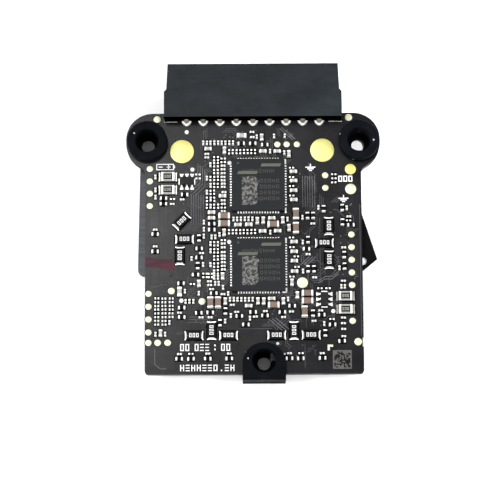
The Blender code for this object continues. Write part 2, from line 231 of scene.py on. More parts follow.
def make_piece(name, shape, materials, body="board", replaces=(), sharp=35,
               closed_ring=False):
    """Makes a piece from a shape; it rides on a CAD body and may stand for CAD nodes.

    `sharp` is the angle in degrees from which an edge looks sharp, and `closed_ring` joins the
    two ends of a ring that was lofted all the way round.
    """
    mesh = bpy.data.meshes.new(name)
    mesh.from_pydata([p * MM for p in shape.points], [], shape.faces)
    for mat in materials:
        mesh.materials.append(mat)
    mesh.polygons.foreach_set("material_index", shape.slots)
    bm = bmesh.new()
    bm.from_mesh(mesh)
    if closed_ring:
        bmesh.ops.remove_doubles(bm, verts=bm.verts, dist=1e-7)
    bmesh.ops.recalc_face_normals(bm, faces=bm.faces)
    bm.to_mesh(mesh)
    bm.free()
    mesh.shade_smooth()
    mesh.set_sharp_from_angle(angle=math.radians(sharp))
    obj = bpy.data.objects.new(name, mesh)
    bpy.context.scene.collection.objects.link(obj)
    if body:
        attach(obj, body)
    if replaces:
        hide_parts(*replaces)
    return obj


# --- materials ---------------------------------------------------------------------------

class Finish:
    """A Principled material and the few nodes that give it grain, patches and relief."""

    def __init__(self, name, roughness=0.5, metallic=0.0, specular=0.5):
        self.material = bpy.data.materials.new(name)
        self.material.use_nodes = True
        self.tree = self.material.node_tree
        self.shader = self.tree.nodes["Principled BSDF"]
        self.shader.inputs["Metallic"].default_value = metallic
        self.shader.inputs["Specular IOR Level"].default_value = specular
        self.shader.inputs["Roughness"].default_value = roughness
        self.coords = self.node("TexCoord")["Object"]

    def node(self, kind, sockets=None, **settings):
        """Adds a node; each of its sockets, by name or number, gets a value or a link."""
        made = self.tree.nodes.new("ShaderNode" + kind)
        for key, value in settings.items():
            setattr(made, key, value)
        for key, value in (sockets or {}).items():
            if isinstance(value, bpy.types.NodeSocket):
                self.tree.links.new(value, made.inputs[key])
            else:
                made.inputs[key].default_value = value
        return made.outputs

    def moved(self, seed, stretch=(1, 1, 1)):
        """The object's own coordinates, stretched and shifted so that patterns differ."""
        values = {"Vector": self.coords, "Location": (seed, seed, seed), "Scale": stretch}
        return self.node("Mapping", values)["Vector"]

    def noise(self, per_mm, detail=4.0, roughness=0.6, stretch=(1, 1, 1), seed=0.0):
        """Noise with that many features to the millimetre, stretched along the axes."""
        values = {"Vector": self.moved(seed, stretch), "Scale": per_mm / MM, "Detail": detail,
                  "Roughness": roughness}
        return self.node("TexNoise", values)["Fac"]

    def cells(self, per_mm, seed=0.0):
        """Cell noise: the distance from the nearest cell's centre."""
        return self.node("TexVoronoi", {"Vector": self.moved(seed), "Scale": per_mm / MM})["Distance"]

    def crumbs(self, per_mm, share, size):
        """Ragged dots of one size, in a share of the cells of a pattern."""
        cells = self.node("TexVoronoi", {"Vector": self.coords, "Scale": per_mm / MM})
        bend = self.node("TexNoise", {"Vector": self.coords, "Scale": 6 * per_mm / MM, "Detail": 3.0})
        ragged = self.node("Math", {0: bend["Fac"], 1: size * 1.3, 2: cells["Distance"]},
                           operation="MULTIPLY_ADD")
        dots = self.ramp(ragged["Value"], [(size, 1.0), (size * 1.25, 0.0)])
        pick = self.node("SeparateColor", {"Color": cells["Color"]})
        chosen = self.ramp(pick["Red"], [(share, 1.0), (share + 0.01, 0.0)])
        return self.mix(chosen, (0.0, 0.0, 0.0), dots)

    def ramp(self, source, stops):
        """A colour ramp; each stop is a place from 0 to 1 and a colour or a grey value."""
        outputs = self.node("ValToRGB", {"Fac": source})
        elements = outputs["Color"].node.color_ramp.elements
        for element, (place, colour) in zip(elements, stops):
            element.position = place
            values = colour if isinstance(colour, tuple) else (colour,) * 3
            element.color = (*values, 1.0)
        return outputs["Color"]

    def mix(self, fac, first, second):
        """Two colours, each a tuple or a pattern, mixed by a third pattern."""
        sides = [side if isinstance(side, bpy.types.NodeSocket) else (*side, 1.0)
                 for side in (first, second)]
        return self.node("Mix", {0: fac, 6: sides[0], 7: sides[1]}, data_type="RGBA")[2]

    def colour(self, source):
        self.tree.links.new(source, self.shader.inputs["Base Color"])

    def rough(self, source, low, high):
        """Roughness that follows a pattern, between two values."""
        spread = self.node("MapRange", {"Value": source, "To Min": low, "To Max": high})
        self.tree.links.new(spread["Result"], self.shader.inputs["Roughness"])

    def relief(self, source, depth_mm, strength):
        """Bump from a pattern, on top of any relief that is already there."""
        values = {"Height": source, "Distance": depth_mm * MM, "Strength": strength}
        target = self.shader.inputs["Normal"]
        if target.is_linked:
            values["Normal"] = target.links[0].from_socket
        self.tree.links.new(self.node("Bump", values)["Normal"], target)


def solder_mask(name, dark, light, roughness):
    """Satin lacquer: cloudy patches, fine dust specks and the weave of the glass cloth below."""
    f = Finish(name, specular=0.115)
    base = f.ramp(f.noise(0.09, detail=5, roughness=0.65), [(0.4, dark), (0.6, light)])
    dust = f.ramp(f.noise(2.6, detail=8, roughness=0.85, seed=3), [(0.57, 0.0), (0.72, 0.55)])
    f.colour(f.mix(dust, base, (0.045, 0.045, 0.048)))
    weave = f.noise(2.2, detail=1, stretch=(1, 0.25, 1), seed=5)
    f.rough(f.noise(0.5, detail=5, seed=9), *roughness)
    f.relief(weave, 0.004, 0.5)
    f.relief(f.noise(9, detail=3, seed=1), 0.002, 0.5)
    return f.material


def moulded_plastic(name, dark, light, roughness, specular):
    """Spark-eroded moulding: an even fine grain, faint flow clouds and pale scuffs."""
    f = Finish(name, specular=specular)
    clouds = f.noise(0.3, detail=6, roughness=0.7, stretch=(0.5, 1, 1))
    scratches = f.noise(1.4, detail=8, roughness=0.85, stretch=(0.3, 1.4, 1), seed=4)
    scuffs = f.ramp(scratches, [(0.6, 0.0), (0.72, 0.6)])
    pale = tuple(min(1.0, 1.9 * c + 0.015) for c in light)
    f.colour(f.mix(scuffs, f.ramp(clouds, [(0.38, dark), (0.62, light)]), pale))
    f.rough(f.noise(0.8, detail=5, seed=2), *roughness)
    f.relief(f.noise(8, detail=3), 0.01, 0.45)
    return f.material


def dusty_rubber():
    """Matte rubber with lint, and a few pale specks and crumbs of dust."""
    f = Finish("rubber", specular=0.05)
    clouds = f.noise(0.5, detail=6, roughness=0.7)
    base = f.ramp(clouds, [(0.35, (0.0005, 0.0007, 0.0014)), (0.7, (0.0022, 0.0028, 0.0048))])
    lint = f.ramp(f.noise(3.2, detail=8, roughness=0.85, seed=6), [(0.6, 0.0), (0.8, 0.5)])
    dusty = f.mix(lint, base, (0.05, 0.054, 0.07))
    f.colour(f.mix(f.crumbs(1.0, share=0.22, size=0.22), dusty, (0.42, 0.43, 0.45)))
    f.rough(f.noise(1.2, detail=6, seed=8), 0.6, 0.85)
    f.relief(f.noise(4.5, detail=6, roughness=0.7), 0.018, 0.5)
    return f.material


def epoxy_moulding(name, dark, light, roughness=(0.45, 0.62), specular=0.16):
    """Filled epoxy of a chip's body: fine sandy grain with darker and lighter grains."""
    f = Finish(name, specular=specular)
    grain = f.noise(11, detail=6, roughness=0.75)
    f.colour(f.ramp(grain, [(0.3, dark), (0.7, light)]))
    f.rough(f.noise(1.5, detail=4, seed=3), *roughness)
    f.relief(grain, 0.008, 0.4)
    return f.material


def metal(name, dark, light, roughness, grain=5.0, depth=0.004, stretch=(1, 1, 1)):
    """Bare or plated metal: patches of two tones, each with its own shine and relief."""
    f = Finish(name, metallic=1.0)
    tone = f.noise(grain, detail=4, stretch=stretch)
    f.colour(f.ramp(tone, [(0.3, dark), (0.7, light)]))
    f.rough(f.noise(grain * 1.7, detail=3, stretch=stretch, seed=4), *roughness)
    f.relief(tone, depth, 0.5)
    return f.material


def ceramic(name, dark, light, specular=0.3):
    """Fired ceramic: even grain with a few darker pores."""
    f = Finish(name, specular=specular)
    base = f.ramp(f.noise(3.5, detail=6, roughness=0.7), [(0.3, dark), (0.7, light)])
    pores = f.ramp(f.cells(9, seed=2), [(0.04, 0.5), (0.1, 0.0)])
    f.colour(f.mix(pores, base, tuple(c * 0.4 for c in dark)))
    f.rough(f.noise(2.5, detail=4, seed=2), 0.35, 0.5)
    f.relief(f.noise(8, detail=4), 0.004, 0.5)
    return f.material


def print_ink(name, thin, full, coverage=(0.35, 0.6), per_mm=9):
    """Printed marking: full colour with thinner, speckled places."""
    f = Finish(name, roughness=0.6, specular=0.2)
    spread = f.noise(per_mm, detail=6, roughness=0.7)
    f.colour(f.ramp(spread, [(coverage[0], thin), (coverage[1], full)]))
    f.relief(f.noise(14, detail=3), 0.003, 0.4)
    return f.material


def marker_ink(name, mask, ink):
    """A worn felt-pen stroke: streaks of ink over the lacquer."""
    f = Finish(name, specular=0.16)
    streaks = f.noise(1.6, detail=5, roughness=0.7, stretch=(0.15, 1.5, 1))
    f.colour(f.ramp(streaks, [(0.35, mask), (0.6, ink)]))
    f.rough(streaks, 0.42, 0.58)
    return f.material


def glossy_film(name):
    """Thin polyester film: glossy, finely scratched and slightly wavy."""
    f = Finish(name, specular=0.07)
    tone = f.noise(0.6, detail=5)
    f.colour(f.ramp(tone, [(0.3, (0.0005, 0.0005, 0.0005)), (0.8, (0.0014, 0.0014, 0.0016))]))
    scratches = f.noise(2.0, detail=9, roughness=0.85, stretch=(0.2, 2.2, 1), seed=3)
    f.rough(scratches, 0.18, 0.34)
    f.relief(f.noise(0.35, detail=2, seed=7), 0.06, 0.5)
    f.relief(scratches, 0.003, 0.3)
    return f.material


def soft_pad(name):
    """Silicone gap filler: matte, with a pebbled surface."""
    f = Finish(name, specular=0.25)
    f.colour(f.ramp(f.noise(2.5, detail=6), [(0.3, (0.25, 0.33, 0.43)), (0.7, (0.38, 0.47, 0.58))]))
    f.rough(f.noise(3, detail=3, seed=2), 0.7, 0.9)
    f.relief(f.cells(3.5), 0.03, 0.5)
    return f.material


# Each material's darker and lighter tone, then the range of its roughness where that varies
MASK = solder_mask("solder_mask", (0.002, 0.002, 0.0026), (0.0075, 0.0075, 0.0086), (0.22, 0.3))
POUR = solder_mask("mask_over_pour", (0.0045, 0.0045, 0.0052), (0.0115, 0.0115, 0.0128), (0.22, 0.3))
TRACE_MASK = solder_mask("mask_over_copper", (0.035, 0.035, 0.038), (0.085, 0.085, 0.09), (0.3, 0.42))
ROUTE_MASK = solder_mask("mask_over_routing", (0.013, 0.013, 0.0145), (0.05, 0.05, 0.054), (0.3, 0.42))
# Near-black openings round the parts: partly the real gap in the lacquer, and darker than the bare laminate
# as painted shade round each part
OPENING_PAINTED_SHADE = epoxy_moulding("mask_opening_and_painted_shade", (0.0002, 0.0002, 0.0003), (0.001, 0.001, 0.0012), (0.6, 0.8),
                         specular=0.012)
LAMINATE = epoxy_moulding("board_edge", (0.004, 0.004, 0.0045), (0.01, 0.01, 0.01), (0.55, 0.75))
HOUSING = moulded_plastic("connector_plastic", (0.0015, 0.0035, 0.0055), (0.0065, 0.0092, 0.012),
                          (0.5, 0.66), specular=0.17)
# Painted shade: near-black, shineless plastic for the housing's rear wall, standing for the shade on that
# wall
HOUSING_REAR_PAINTED_SHADE = moulded_plastic("connector_rear_painted_shade", (0.0004, 0.0004, 0.0006), (0.0008, 0.0008, 0.001),
                               (0.7, 0.85), specular=0.0)
RUBBER = dusty_rubber()
CHIP = epoxy_moulding("mould_compound", (0.0015, 0.0022, 0.0034), (0.0062, 0.0076, 0.0095))
DARK_CHIP = epoxy_moulding("dark_compound", (0.002, 0.002, 0.0025), (0.006, 0.006, 0.0065))
RESISTOR = ceramic("resistor_black", (0.001, 0.001, 0.001), (0.003, 0.003, 0.0034), specular=0.06)
GLAZE = ceramic("resistor_glaze", (0.003, 0.003, 0.003), (0.008, 0.008, 0.007), specular=0.06)
ALUMINA = ceramic("resistor_white", (0.22, 0.22, 0.21), (0.34, 0.34, 0.32), specular=0.15)
BROWN = ceramic("capacitor_brown", (0.075, 0.05, 0.037), (0.16, 0.112, 0.085))
BEIGE = ceramic("capacitor_beige", (0.2, 0.195, 0.18), (0.36, 0.35, 0.325))
SOLDER = metal("solder", (0.66, 0.655, 0.635), (0.86, 0.85, 0.82), (0.36, 0.55), grain=3, depth=0.02)
TIN = metal("tinned_end", (0.6, 0.6, 0.585), (0.8, 0.8, 0.785), (0.42, 0.58), grain=6, depth=0.008)
GOLD = metal("gold_plating", (0.5, 0.475, 0.165), (0.58, 0.555, 0.225), (0.45, 0.6))
PALE_GOLD = metal("pale_gold_plating", (0.48, 0.475, 0.33), (0.55, 0.545, 0.43), (0.45, 0.6))
DEEP_GOLD = metal("deep_gold_plating", (0.53, 0.49, 0.14), (0.6, 0.56, 0.19), (0.45, 0.6))
CONTACT = metal("contact_gold", (0.5, 0.36, 0.13), (0.66, 0.5, 0.22), (0.2, 0.34), grain=4, depth=0.006)
# Painted shade: pin metal kept much darker than tinned metal, standing for the shade of the housing over the
# pins
PIN_DARKENED = metal("pin_metal_darkened", (0.2, 0.19, 0.165), (0.34, 0.32, 0.28), (0.22, 0.38), grain=4, depth=0.008)
SPREADER = metal("spreader_metal", (0.035, 0.0365, 0.04), (0.065, 0.0675, 0.073), (0.42, 0.58),
                 grain=1.6, depth=0.012, stretch=(0.2, 2.0, 1))
SILK = print_ink("white_print", (0.3, 0.3, 0.3), (0.62, 0.62, 0.62), (0.32, 0.45))
PALE_PRINT = print_ink("resistor_print", (0.09, 0.09, 0.085), (0.3, 0.3, 0.285))
GREY_PRINT = print_ink("grey_print", (0.008, 0.008, 0.008), (0.13, 0.13, 0.124), (0.45, 0.57), 2.6)
OLIVE_PRINT = print_ink("olive_print", (0.045, 0.048, 0.038), (0.085, 0.09, 0.07), (0.3, 0.6))
FAINT_PRINT = print_ink("faint_print", (0.02, 0.021, 0.02), (0.045, 0.047, 0.043), (0.35, 0.65))
CODE_PRINT = print_ink("code_print", (0.035, 0.033, 0.03), (0.09, 0.087, 0.08))
INK = marker_ink("marker_ink", (0.012, 0.006, 0.008), (0.052, 0.009, 0.019))
FILM = glossy_film("film")
THERMAL = soft_pad("thermal_pad")


# --- soldered parts ----------------------------------------------------------------------

def terminal(width, height, start, end, fillet, slot):
    """A tinned end along +X, with the solder that runs down from it to the pad."""
    sections = [(start, height), (end - 0.03, height), (end, height * 0.86),
                (end + fillet * 0.35, height * 0.4), (end + fillet, 0.03)]
    rings = []
    half = width / 2
    for x, z in sections:
        edge = min(0.04, z * 0.3)
        rings.append([(x, -half, 0), (x, -half, z - edge), (x, -half + edge, z),
                      (x, half - edge, z), (x, half, z - edge), (x, half, 0)])
    return Shape().loft(rings, slot)


def chip_part(length, width, height, end_length, fillet):
    """A chip resistor or capacitor: a body (0) between two tinned ends on their pads (1)."""
    inner = length / 2 - end_length
    thinner, overlap, pad_rim, pad_height = 0.012, 0.02, 0.015, 0.025
    body = Shape().block((-inner - overlap, -width / 2 + thinner, overlap),
                         (inner + overlap, width / 2 - thinner, height - thinner),
                         edge=min(0.03, width * 0.1))
    end = terminal(width, height, inner, length / 2, fillet, 1)
    end.block((inner - overlap, -width / 2 - pad_rim, 0),
              (length / 2 + fillet + overlap, width / 2 + pad_rim, pad_height), 1)
    return body.both_ends(end)


def bare_pads():
    """Two tinned pads with nothing fitted, slightly domed."""
    return Shape().both_ends(Shape().block((0.11, -0.13, 0), (0.39, 0.13, 0.06), edge=0.035))


PART_SHAPES = {
    "tiny": chip_part(0.58, 0.29, 0.25, 0.17, fillet=0.05),
    "pads": bare_pads(),
    "small": chip_part(1.0, 0.5, 0.42, 0.21, fillet=0.04),
    "small_wide": chip_part(1.4, 0.68, 0.5, 0.34, fillet=0.04),
    "capacitor": chip_part(1.64, 0.88, 0.8, 0.24, fillet=0.03),
}
# Half length and half width of the dark opening round each kind of part: partly a gap in the lacquer, partly
# painted shade round the part
OPENING_PAINTED_SHADE_SIZES = {
    "tiny": (0.48, 0.3), "pads": (0.52, 0.28), "small": (0.72, 0.42), "small_wide": (0.92, 0.5),
    "capacitor": (1.02, 0.6), "shunt": (1.52, 0.8), "sense": (1.56, 0.86),
}
openings_and_painted_shade = Shape()


def open_mask_and_painted_shade(kind, x, y, turn):
    """Lays the dark opening round one part: a gap in the lacquer, darkened as painted shade round the part.
    """
    outline = rounded_box(*OPENING_PAINTED_SHADE_SIZES[kind], 0.12, 3)
    openings_and_painted_shade.stamp(Shape().prism(outline, -0.01, 0.004), x, y, TOP, turn)


def row(x, y, dx, count):
    return [(x + dx * i, y) for i in range(count)]


def column(x, *ys):
    return [(x, y) for y in ys]


def grid(xs, ys):
    return [(x, y) for x in xs for y in ys]


# Parts with a length of 0.6 mm, lying along X
TINY_ACROSS = (
    column(-6.94, 10.88, 10.32) + [(-0.13, 14.23), (-0.1, 13.45)]
    + column(-4.5, 9.03, 8.48, 7.9, 7.3, 6.8, 6.3, 5.79, 3.75, 3.18, 2.06) + [(-4.39, 4.98)]
    + column(-4.52, -2.86, -3.43, -4.16, -4.7, -5.18, -5.68, -6.25, -6.8)
    + [(-6.6, -8.55), (-6.58, -9.14), (-6.27, -9.73), (-4.57, -10.5), (-3.2, -12.1)]
    + [(-2.55, -13.17), (0.18, -13.88), (1.68, -13.1), (5.55, -13.16), (4.37, -14.0)]
    + [(-6.5, -13.95), (-7.84, -13.97), (-12.12, 3.23), (-10.64, 3.9)]
    + [(-14.68, -0.7), (-14.68, -3.22), (-7.77, -4.3), (-11.03, -13.25)]
    + [(8.85, 0.13), (14.27, 1.17), (8.12, -4.53), (9.05, -8.05), (13.3, -8.6), (9.9, -13.03)]
    + [(8.9, -14.6)] + column(13.23, -14.12, -14.95, -15.8, -16.9)
    + grid((-11.05, -6.88, -3.65, 5.18, 10.05), (-19.4,)) + [(13.4, -3.55)]
)
# The same parts lying along Y
TINY_UPRIGHT = (
    row(-7.5, 12.57, 0.56, 9) + [(2.56, 11.23), (4.68, 11.02), (0.56, 13.5)]
    + [(3.16, 13.6), (4.77, 13.6), (-6.41, 9.23), (-6.41, 6.05), (-6.41, 3.93), (-6.41, 2.86)]
    + column(-6.97, 7.14, 5.0) + row(-3.0, 0.88, 0.565, 6)
    + [(2.5, -1.15), (5.1, 0.83), (-5.06, -1.48), (-6.27, -1.84), (-5.71, -1.84)]
    + [(-5.9, -7.14), (-5.34, -7.95), (-5.9, -7.95), (-6.44, -2.86), (-6.44, -3.94), (-6.44, -6.05)]
    + [(-5.77, -8.88), (-5.23, -8.88), (-4.57, -9.45), (-3.8, -10.4)] + column(-7.41, 0.4, -0.68, -1.73)
    + row(-3.55, -11.3, 0.56, 7) + [(5.05, -11.3), (-3.42, -13.7), (-4.3, -14.53), (-0.6, -14.15)]
    + [(13.97, 2.5), (9.73, 2.55), (7.35, 1.05), (7.35, -2.7), (7.32, -7.07), (12.77, -6.65)]
    + [(13.0, -9.44), (13.53, -9.44), (10.4, -15.0)] + column(-14.66, 7.38, 5.36, 4.29)
    + [(-9.25, -5.1), (-7.55, -6.0), (-10.25, -10.05), (-8.2, -10.35)]
    + row(-10.16, -11.57, 0.58, 3) + [(-14.6, -16.44), (-13.16, -16.44), (-12.53, -14.7)]
)
# Pairs of bare pads, lying along X and along Y
PADS_ACROSS = (
    [(-4.5, 10.16), (-4.5, 9.62), (-4.5, 2.62), (-4.52, -2.32), (-12.1, 4.0)]
    + [(5.75, 8.7), (5.73, 7.25), (5.75, 5.87), (5.75, 4.4), (5.67, -1.98), (5.72, -3.45)]
    + [(6.37, -4.85), (6.42, -6.44), (5.67, -7.9), (14.23, 0.55), (9.8, -9.7), (11.02, -9.7)]
    + column(12.1, 7.66, 7.03, 6.4) + [(-9.34, -19.4), (6.88, -19.4), (-9.15, -8.94)]
    + [(-8.27, 7.73), (-8.27, 7.14), (11.55, -14.33)]
    + grid((-7.27, -6.47), (-7.4, -7.94))
)
PADS_UPRIGHT = (
    row(-3.6, 11.2, 0.556, 8) + row(-3.68, -1.06, 0.556, 8)
    + grid((-5.85, -5.3), (10.15, 9.22, 6.04))
    + column(-5.86, 8.16, 7.11, 5.0, 3.9, 2.86) + [(-5.29, 2.86), (-5.3, 8.16), (-5.3, 7.11)]
    + [(-6.41, 7.12), (-6.41, 4.96), (-6.97, 3.91), (-6.97, 2.85)]
    + grid((-5.88, -5.34), (-2.88, -3.94, -5.03, -6.1)) + [(-5.34, -7.15)]
)
# Capacitors with a length of 1 mm, lying along X and along Y
CAPACITORS_ACROSS = (
    [(-6.75, 11.68), (1.48, 11.23), (3.63, 11.2), (-4.6, 4.4), (-6.27, 1.9), (-6.27, 1.03)]
    + [(2.72, 0.96), (-2.32, 0.0), (-0.7, 0.0), (1.37, -1.0), (3.6, -1.0), (2.64, -11.2)]
    + [(-0.77, -12.25)] + column(6.05, 8.07, 6.65, 5.2, 3.78, -2.64, -4.1, -5.55, -7.1)
)
CAPACITORS_UPRIGHT = [
    (-4.32, 11.4), (5.4, 10.82), (1.3, 13.4), (0.56, 0.62), (1.44, 0.64), (4.4, 0.67), (5.32, -0.5),
    (-4.38, -1.15), (-4.64, -7.77), (-4.24, -11.55), (0.58, -11.57), (1.44, -11.57), (4.37, -11.6),
    (6.45, -10.68), (5.66, -8.8), (-8.17, -8.87), (-13.86, -16.3),
]
# Resistors with a length of 1 mm, lying along X and along Y
RESISTORS_ACROSS = (
    [(-1.77, 12.45), (-0.02, 12.45), (1.78, 12.23), (-6.24, 0.14), (-6.24, -0.77), (-5.95, -10.36)]
    + [(-2.2, -13.8), (-0.13, -13.23), (1.6, -13.77), (-1.2, -15.1), (4.2, -13.25), (5.67, -12.32)]
    + [(-6.48, -13.27), (-8.18, -13.3), (14.55, -0.14), (7.86, -3.77), (10.03, -13.7)]
    + [(11.6, -15.13), (13.0, -17.6), (-13.45, 4.05), (-13.47, 3.23), (-10.3, 4.6)]
    + [(-14.68, -1.4), (-14.68, -4.0), (-8.1, -3.6), (-8.13, -4.95), (-8.67, -7.55), (-10.8, -8.87)]
    + column(-10.7, -12.5, -13.93) + grid((-11.07, -9.33, -6.86, -3.7, 5.2, 6.87, 10.07), (-20.15,))
)
RESISTORS_UPRIGHT = [
    (-4.25, -13.05), (-5.03, -14.8), (13.27, 2.52), (10.52, 2.35), (8.1, 1.32), (8.94, 1.32),
    (13.27, 0.31), (8.1, -2.37), (8.1, -6.78), (8.95, -6.78), (13.5, -4.66), (13.52, -6.4),
    (8.75, -13.43), (10.53, -16.4), (-8.14, -2.03), (-8.32, -6.2),
]


def stamp_parts(kind, across, upright):
    """Parts of one kind at their places, each slightly shifted and turned as soldering leaves them."""
    shape = Shape()
    for places, turn in ((across, 0), (upright, 90)):
        for x, y in places:
            slip_x, slip_y = rng.uniform(-0.02, 0.02), rng.uniform(-0.02, 0.02)
            px, py = spot(x + slip_x, y + slip_y)
            open_mask_and_painted_shade(kind, px, py, turn)
            shape.stamp(PART_SHAPES[kind], px, py, TOP, turn + rng.uniform(-1.5, 1.5))
    return shape


def capacitor_array():
    """Two and a half columns of tiny parts by the left edge, in rows 0.56 mm apart."""
    return [(x, -11.1 - 0.56 * i) for x, count in ((-14.41, 8), (-13.35, 8), (-12.28, 6))
            for i in range(count)]


def make_small_parts():
    for name, kind, across, upright, materials in (
            ("tiny_parts", "tiny", TINY_ACROSS, TINY_UPRIGHT, [BEIGE, TIN]),
            ("tiny_array", "tiny", capacitor_array(), [], [RESISTOR, TIN]),
            ("bare_pads", "pads", PADS_ACROSS, PADS_UPRIGHT, [SOLDER]),
            ("small_capacitors", "small", CAPACITORS_ACROSS, CAPACITORS_UPRIGHT, [BEIGE, TIN]),
            ("small_resistors", "small", RESISTORS_ACROSS, RESISTORS_UPRIGHT, [RESISTOR, TIN]),
            ("wide_capacitors", "small_wide", [(-1.68, 13.64)], [(-11.05, -10.1)], [BEIGE, TIN])):
        make_piece(name, stamp_parts(kind, across, upright), materials)


def lay_on_node(part, node, opening=None):
    """A part's shape, laid where its CAD node lies, with the dark opening round it: a gap in the lacquer and
    painted shade.

    The long side gives the direction, and the one part that is as wide as long lies at 45 degrees.
    """
    low, high = box_mm(node)
    size = high - low
    x, y, _ = (low + high) / 2
    if abs(size.x - size.y) < 0.2:
        turn = 45
    else:
        turn = 0 if size.x > size.y else 90
    if opening:
        open_mask_and_painted_shade(opening, x, y, turn)
    return Shape().stamp(part, x, y, TOP, turn)


def make_shunts():
    """Black current shunts: wide tinned ends, a glazed body and three small marks."""
    length, width, height = 2.1, 1.3, 0.6
    part = Shape().block((-length / 2, -width / 2, 0.04), (length / 2, width / 2, height), edge=0.05)
    marks = Marks(part, height - 0.01, height + 0.012, 2)
    for x in (-0.52, 0.0, 0.52):
        marks.outline(x, 0, 0.36, 0.6, 0.1)
    bar = [(1.15, -0.45), (1.25, -0.7), (1.42, -0.67), (1.36, -0.35), (1.34, 0.0), (1.36, 0.35),
           (1.42, 0.67), (1.25, 0.7), (1.15, 0.45)]
    end = Shape().prism(bar, 0, 0.12, 1, edge=0.04)
    end.block((1.0, -0.5, 0.0), (1.1, 0.5, 0.3), 1, edge=0.04)
    part.both_ends(end)
    for group in ("left", "right", "front_left", "front_right"):
        for number in (1, 2, 3):
            node = f"motor_shunt_{group}_{number}"
            make_piece(f"shunt_{group}_{number}", lay_on_node(part, node, "shunt"),
                       [RESISTOR, SOLDER, SILK], replaces=[node])


def make_sense_resistors():
    """Sense resistors: a pale ceramic rim round a dark glaze, with a mark, between two bars."""
    length, width, height, bare = 2.0, 1.36, 0.55, 0.28
    part = Shape().block((-length / 2 + bare, -width / 2, 0.02), (length / 2 - bare, width / 2, height),
                         3, edge=0.03)
    part.block((-0.68, -0.46, height - 0.01), (0.68, 0.46, height + 0.015), edge=0.01)
    marks = Marks(part, height, height + 0.025, 2)
    for x in (-0.36, 0.0, 0.36):
        marks.outline(x, 0, 0.26, 0.46, 0.09)
    end = terminal(width, height + 0.01, length / 2 - 0.3, length / 2, 0.04, 1)
    bar = [(1.13, -0.62), (1.2, -0.72), (1.4, -0.7), (1.36, 0.0), (1.4, 0.7), (1.2, 0.72), (1.13, 0.62)]
    part.both_ends(end.prism(bar, 0, 0.08, 4, edge=0.03))
    for side in ("left", "right"):
        for number in (1, 2):
            node = f"sense_resistor_{side}_{number}"
            make_piece(f"sense_{side}_{number}", lay_on_node(part, node, "sense"),
                       [GLAZE, TIN, PALE_PRINT, ALUMINA, PIN_DARKENED], replaces=[node])


def make_capacitors():
    """The brown ceramic capacitors; the last one has no node of its own."""
    part = PART_SHAPES["capacitor"]
    shape = Shape()
    nodes = [f"ceramic_capacitor_{number}" for number in range(1, 11)]
    for node in nodes:
        shape.stamp(lay_on_node(part, node, "capacitor"))
    x, y = spot(7.5, -13.2)
    shape.stamp(part, x, y, TOP, 90)
    open_mask_and_painted_shade("capacitor", x, y, 90)
    make_piece("ceramic_capacitors", shape, [BROWN, TIN], replaces=nodes)


# Plain mottled patch on a controller's lid, to the left of its printed rows
LID_PATCH = [(-2.45, -3.1), (-0.45, -3.1), (0.05, -2.3), (-0.2, -0.6), (0.1, 0.6), (-0.5, 1.25),
             (-2.45, 1.25)]
# Left end, height and length in glyphs of each printed row on a controller
LID_ROWS = ((-2.4, 2.05, 8), (0.2, 0.55, 5), (0.2, -0.35, 5), (0.2, -1.25, 5), (0.2, -2.15, 5))


def make_controllers():
    """Motor controllers: flat square packages with 16 soldered pads on each side."""
    half, lid, pitch = 3.98, 0.85, 0.4
    sunk, raised = lid - 0.01, lid + 0.008
    pads = Shape()
    for i in range(16):
        x = (i - 7.5) * pitch
        pads.block((x - 0.1, 3.93, 0), (x + 0.1, 4.24, 0.06), 1, edge=0.02)
        pads.block((x - 0.1, 3.9, 0.0), (x + 0.1, 4.0, 0.2), 1)
    for place, stripes in (("upper", (2.75, 1.6)), ("lower", (2.8, 1.4))):
        part = Shape().block((-half, -half, 0.03), (half, half, lid), edge=0.06)
        for side in range(4):
            part.stamp(pads, turn=90 * side)
        part.prism(circle(-3.02, 3.3, 0.2), sunk, raised, 3)
        for left, y in zip((0.38, -3.12), stripes):
            right, lean, rise = left + 2.9, 0.16, 0.45
            slanted = [(left, y), (right, y), (right + lean, y + rise), (left + lean, y + rise)]
            part.prism(slanted, sunk, lid + 0.01, 2)
        part.prism(LID_PATCH, sunk, lid + 0.01, 4)
        marks = Marks(part, sunk, raised, 3)
        for seed, (left, y, count) in enumerate(LID_ROWS):
            marks.glyphs(left, y, count, 0.62, 0.55, 0.1, seed)
        node = f"motor_controller_{place}"
        low, high = box_mm(node)
        x, y, _ = (low + high) / 2
        make_piece(f"controller_{place}", Shape().stamp(part, x, y, TOP),
                   [CHIP, TIN, OLIVE_PRINT, FAINT_PRINT, GREY_PRINT], replaces=[node])


def make_amplifiers():
    """Six-lead current amplifiers: a small dark body with three bent leads on each long side."""
    part = Shape().block((-0.97, -0.58, 0.08), (0.97, 0.58, 0.8), edge=0.07)
    part.prism(circle(-0.7, -0.32, 0.09, 12), 0.79, 0.81, 2)
    lead = [(0.5, 0.42), (0.66, 0.4), (0.78, 0.12), (1.0, 0.1), (1.0, 0.0), (0.6, 0.0)]
    leads = Shape()
    for x in (-0.78, 0.0, 0.78):
        leads.loft([[(x + half, y, z) for y, z in lead] for half in (-0.12, 0.12)], 1)
        leads.prism([(x - 0.1, 0.66), (x + 0.1, 0.66), (x + 0.3, 1.2), (x - 0.3, 1.2)], 0, 0.05, 1, edge=0.02)
    leads.block((1.1, -0.45, 0), (1.24, 0.45, 0.05), 1)
    part.both_ends(leads)
    for name in ("left", "right"):
        node = f"current_amplifier_{name}"
        make_piece(f"amplifier_{name}", lay_on_node(part, node), [DARK_CHIP, TIN, FAINT_PRINT],
                   replaces=[node])


# --- print, plating and copper on the board ----------------------------------------------

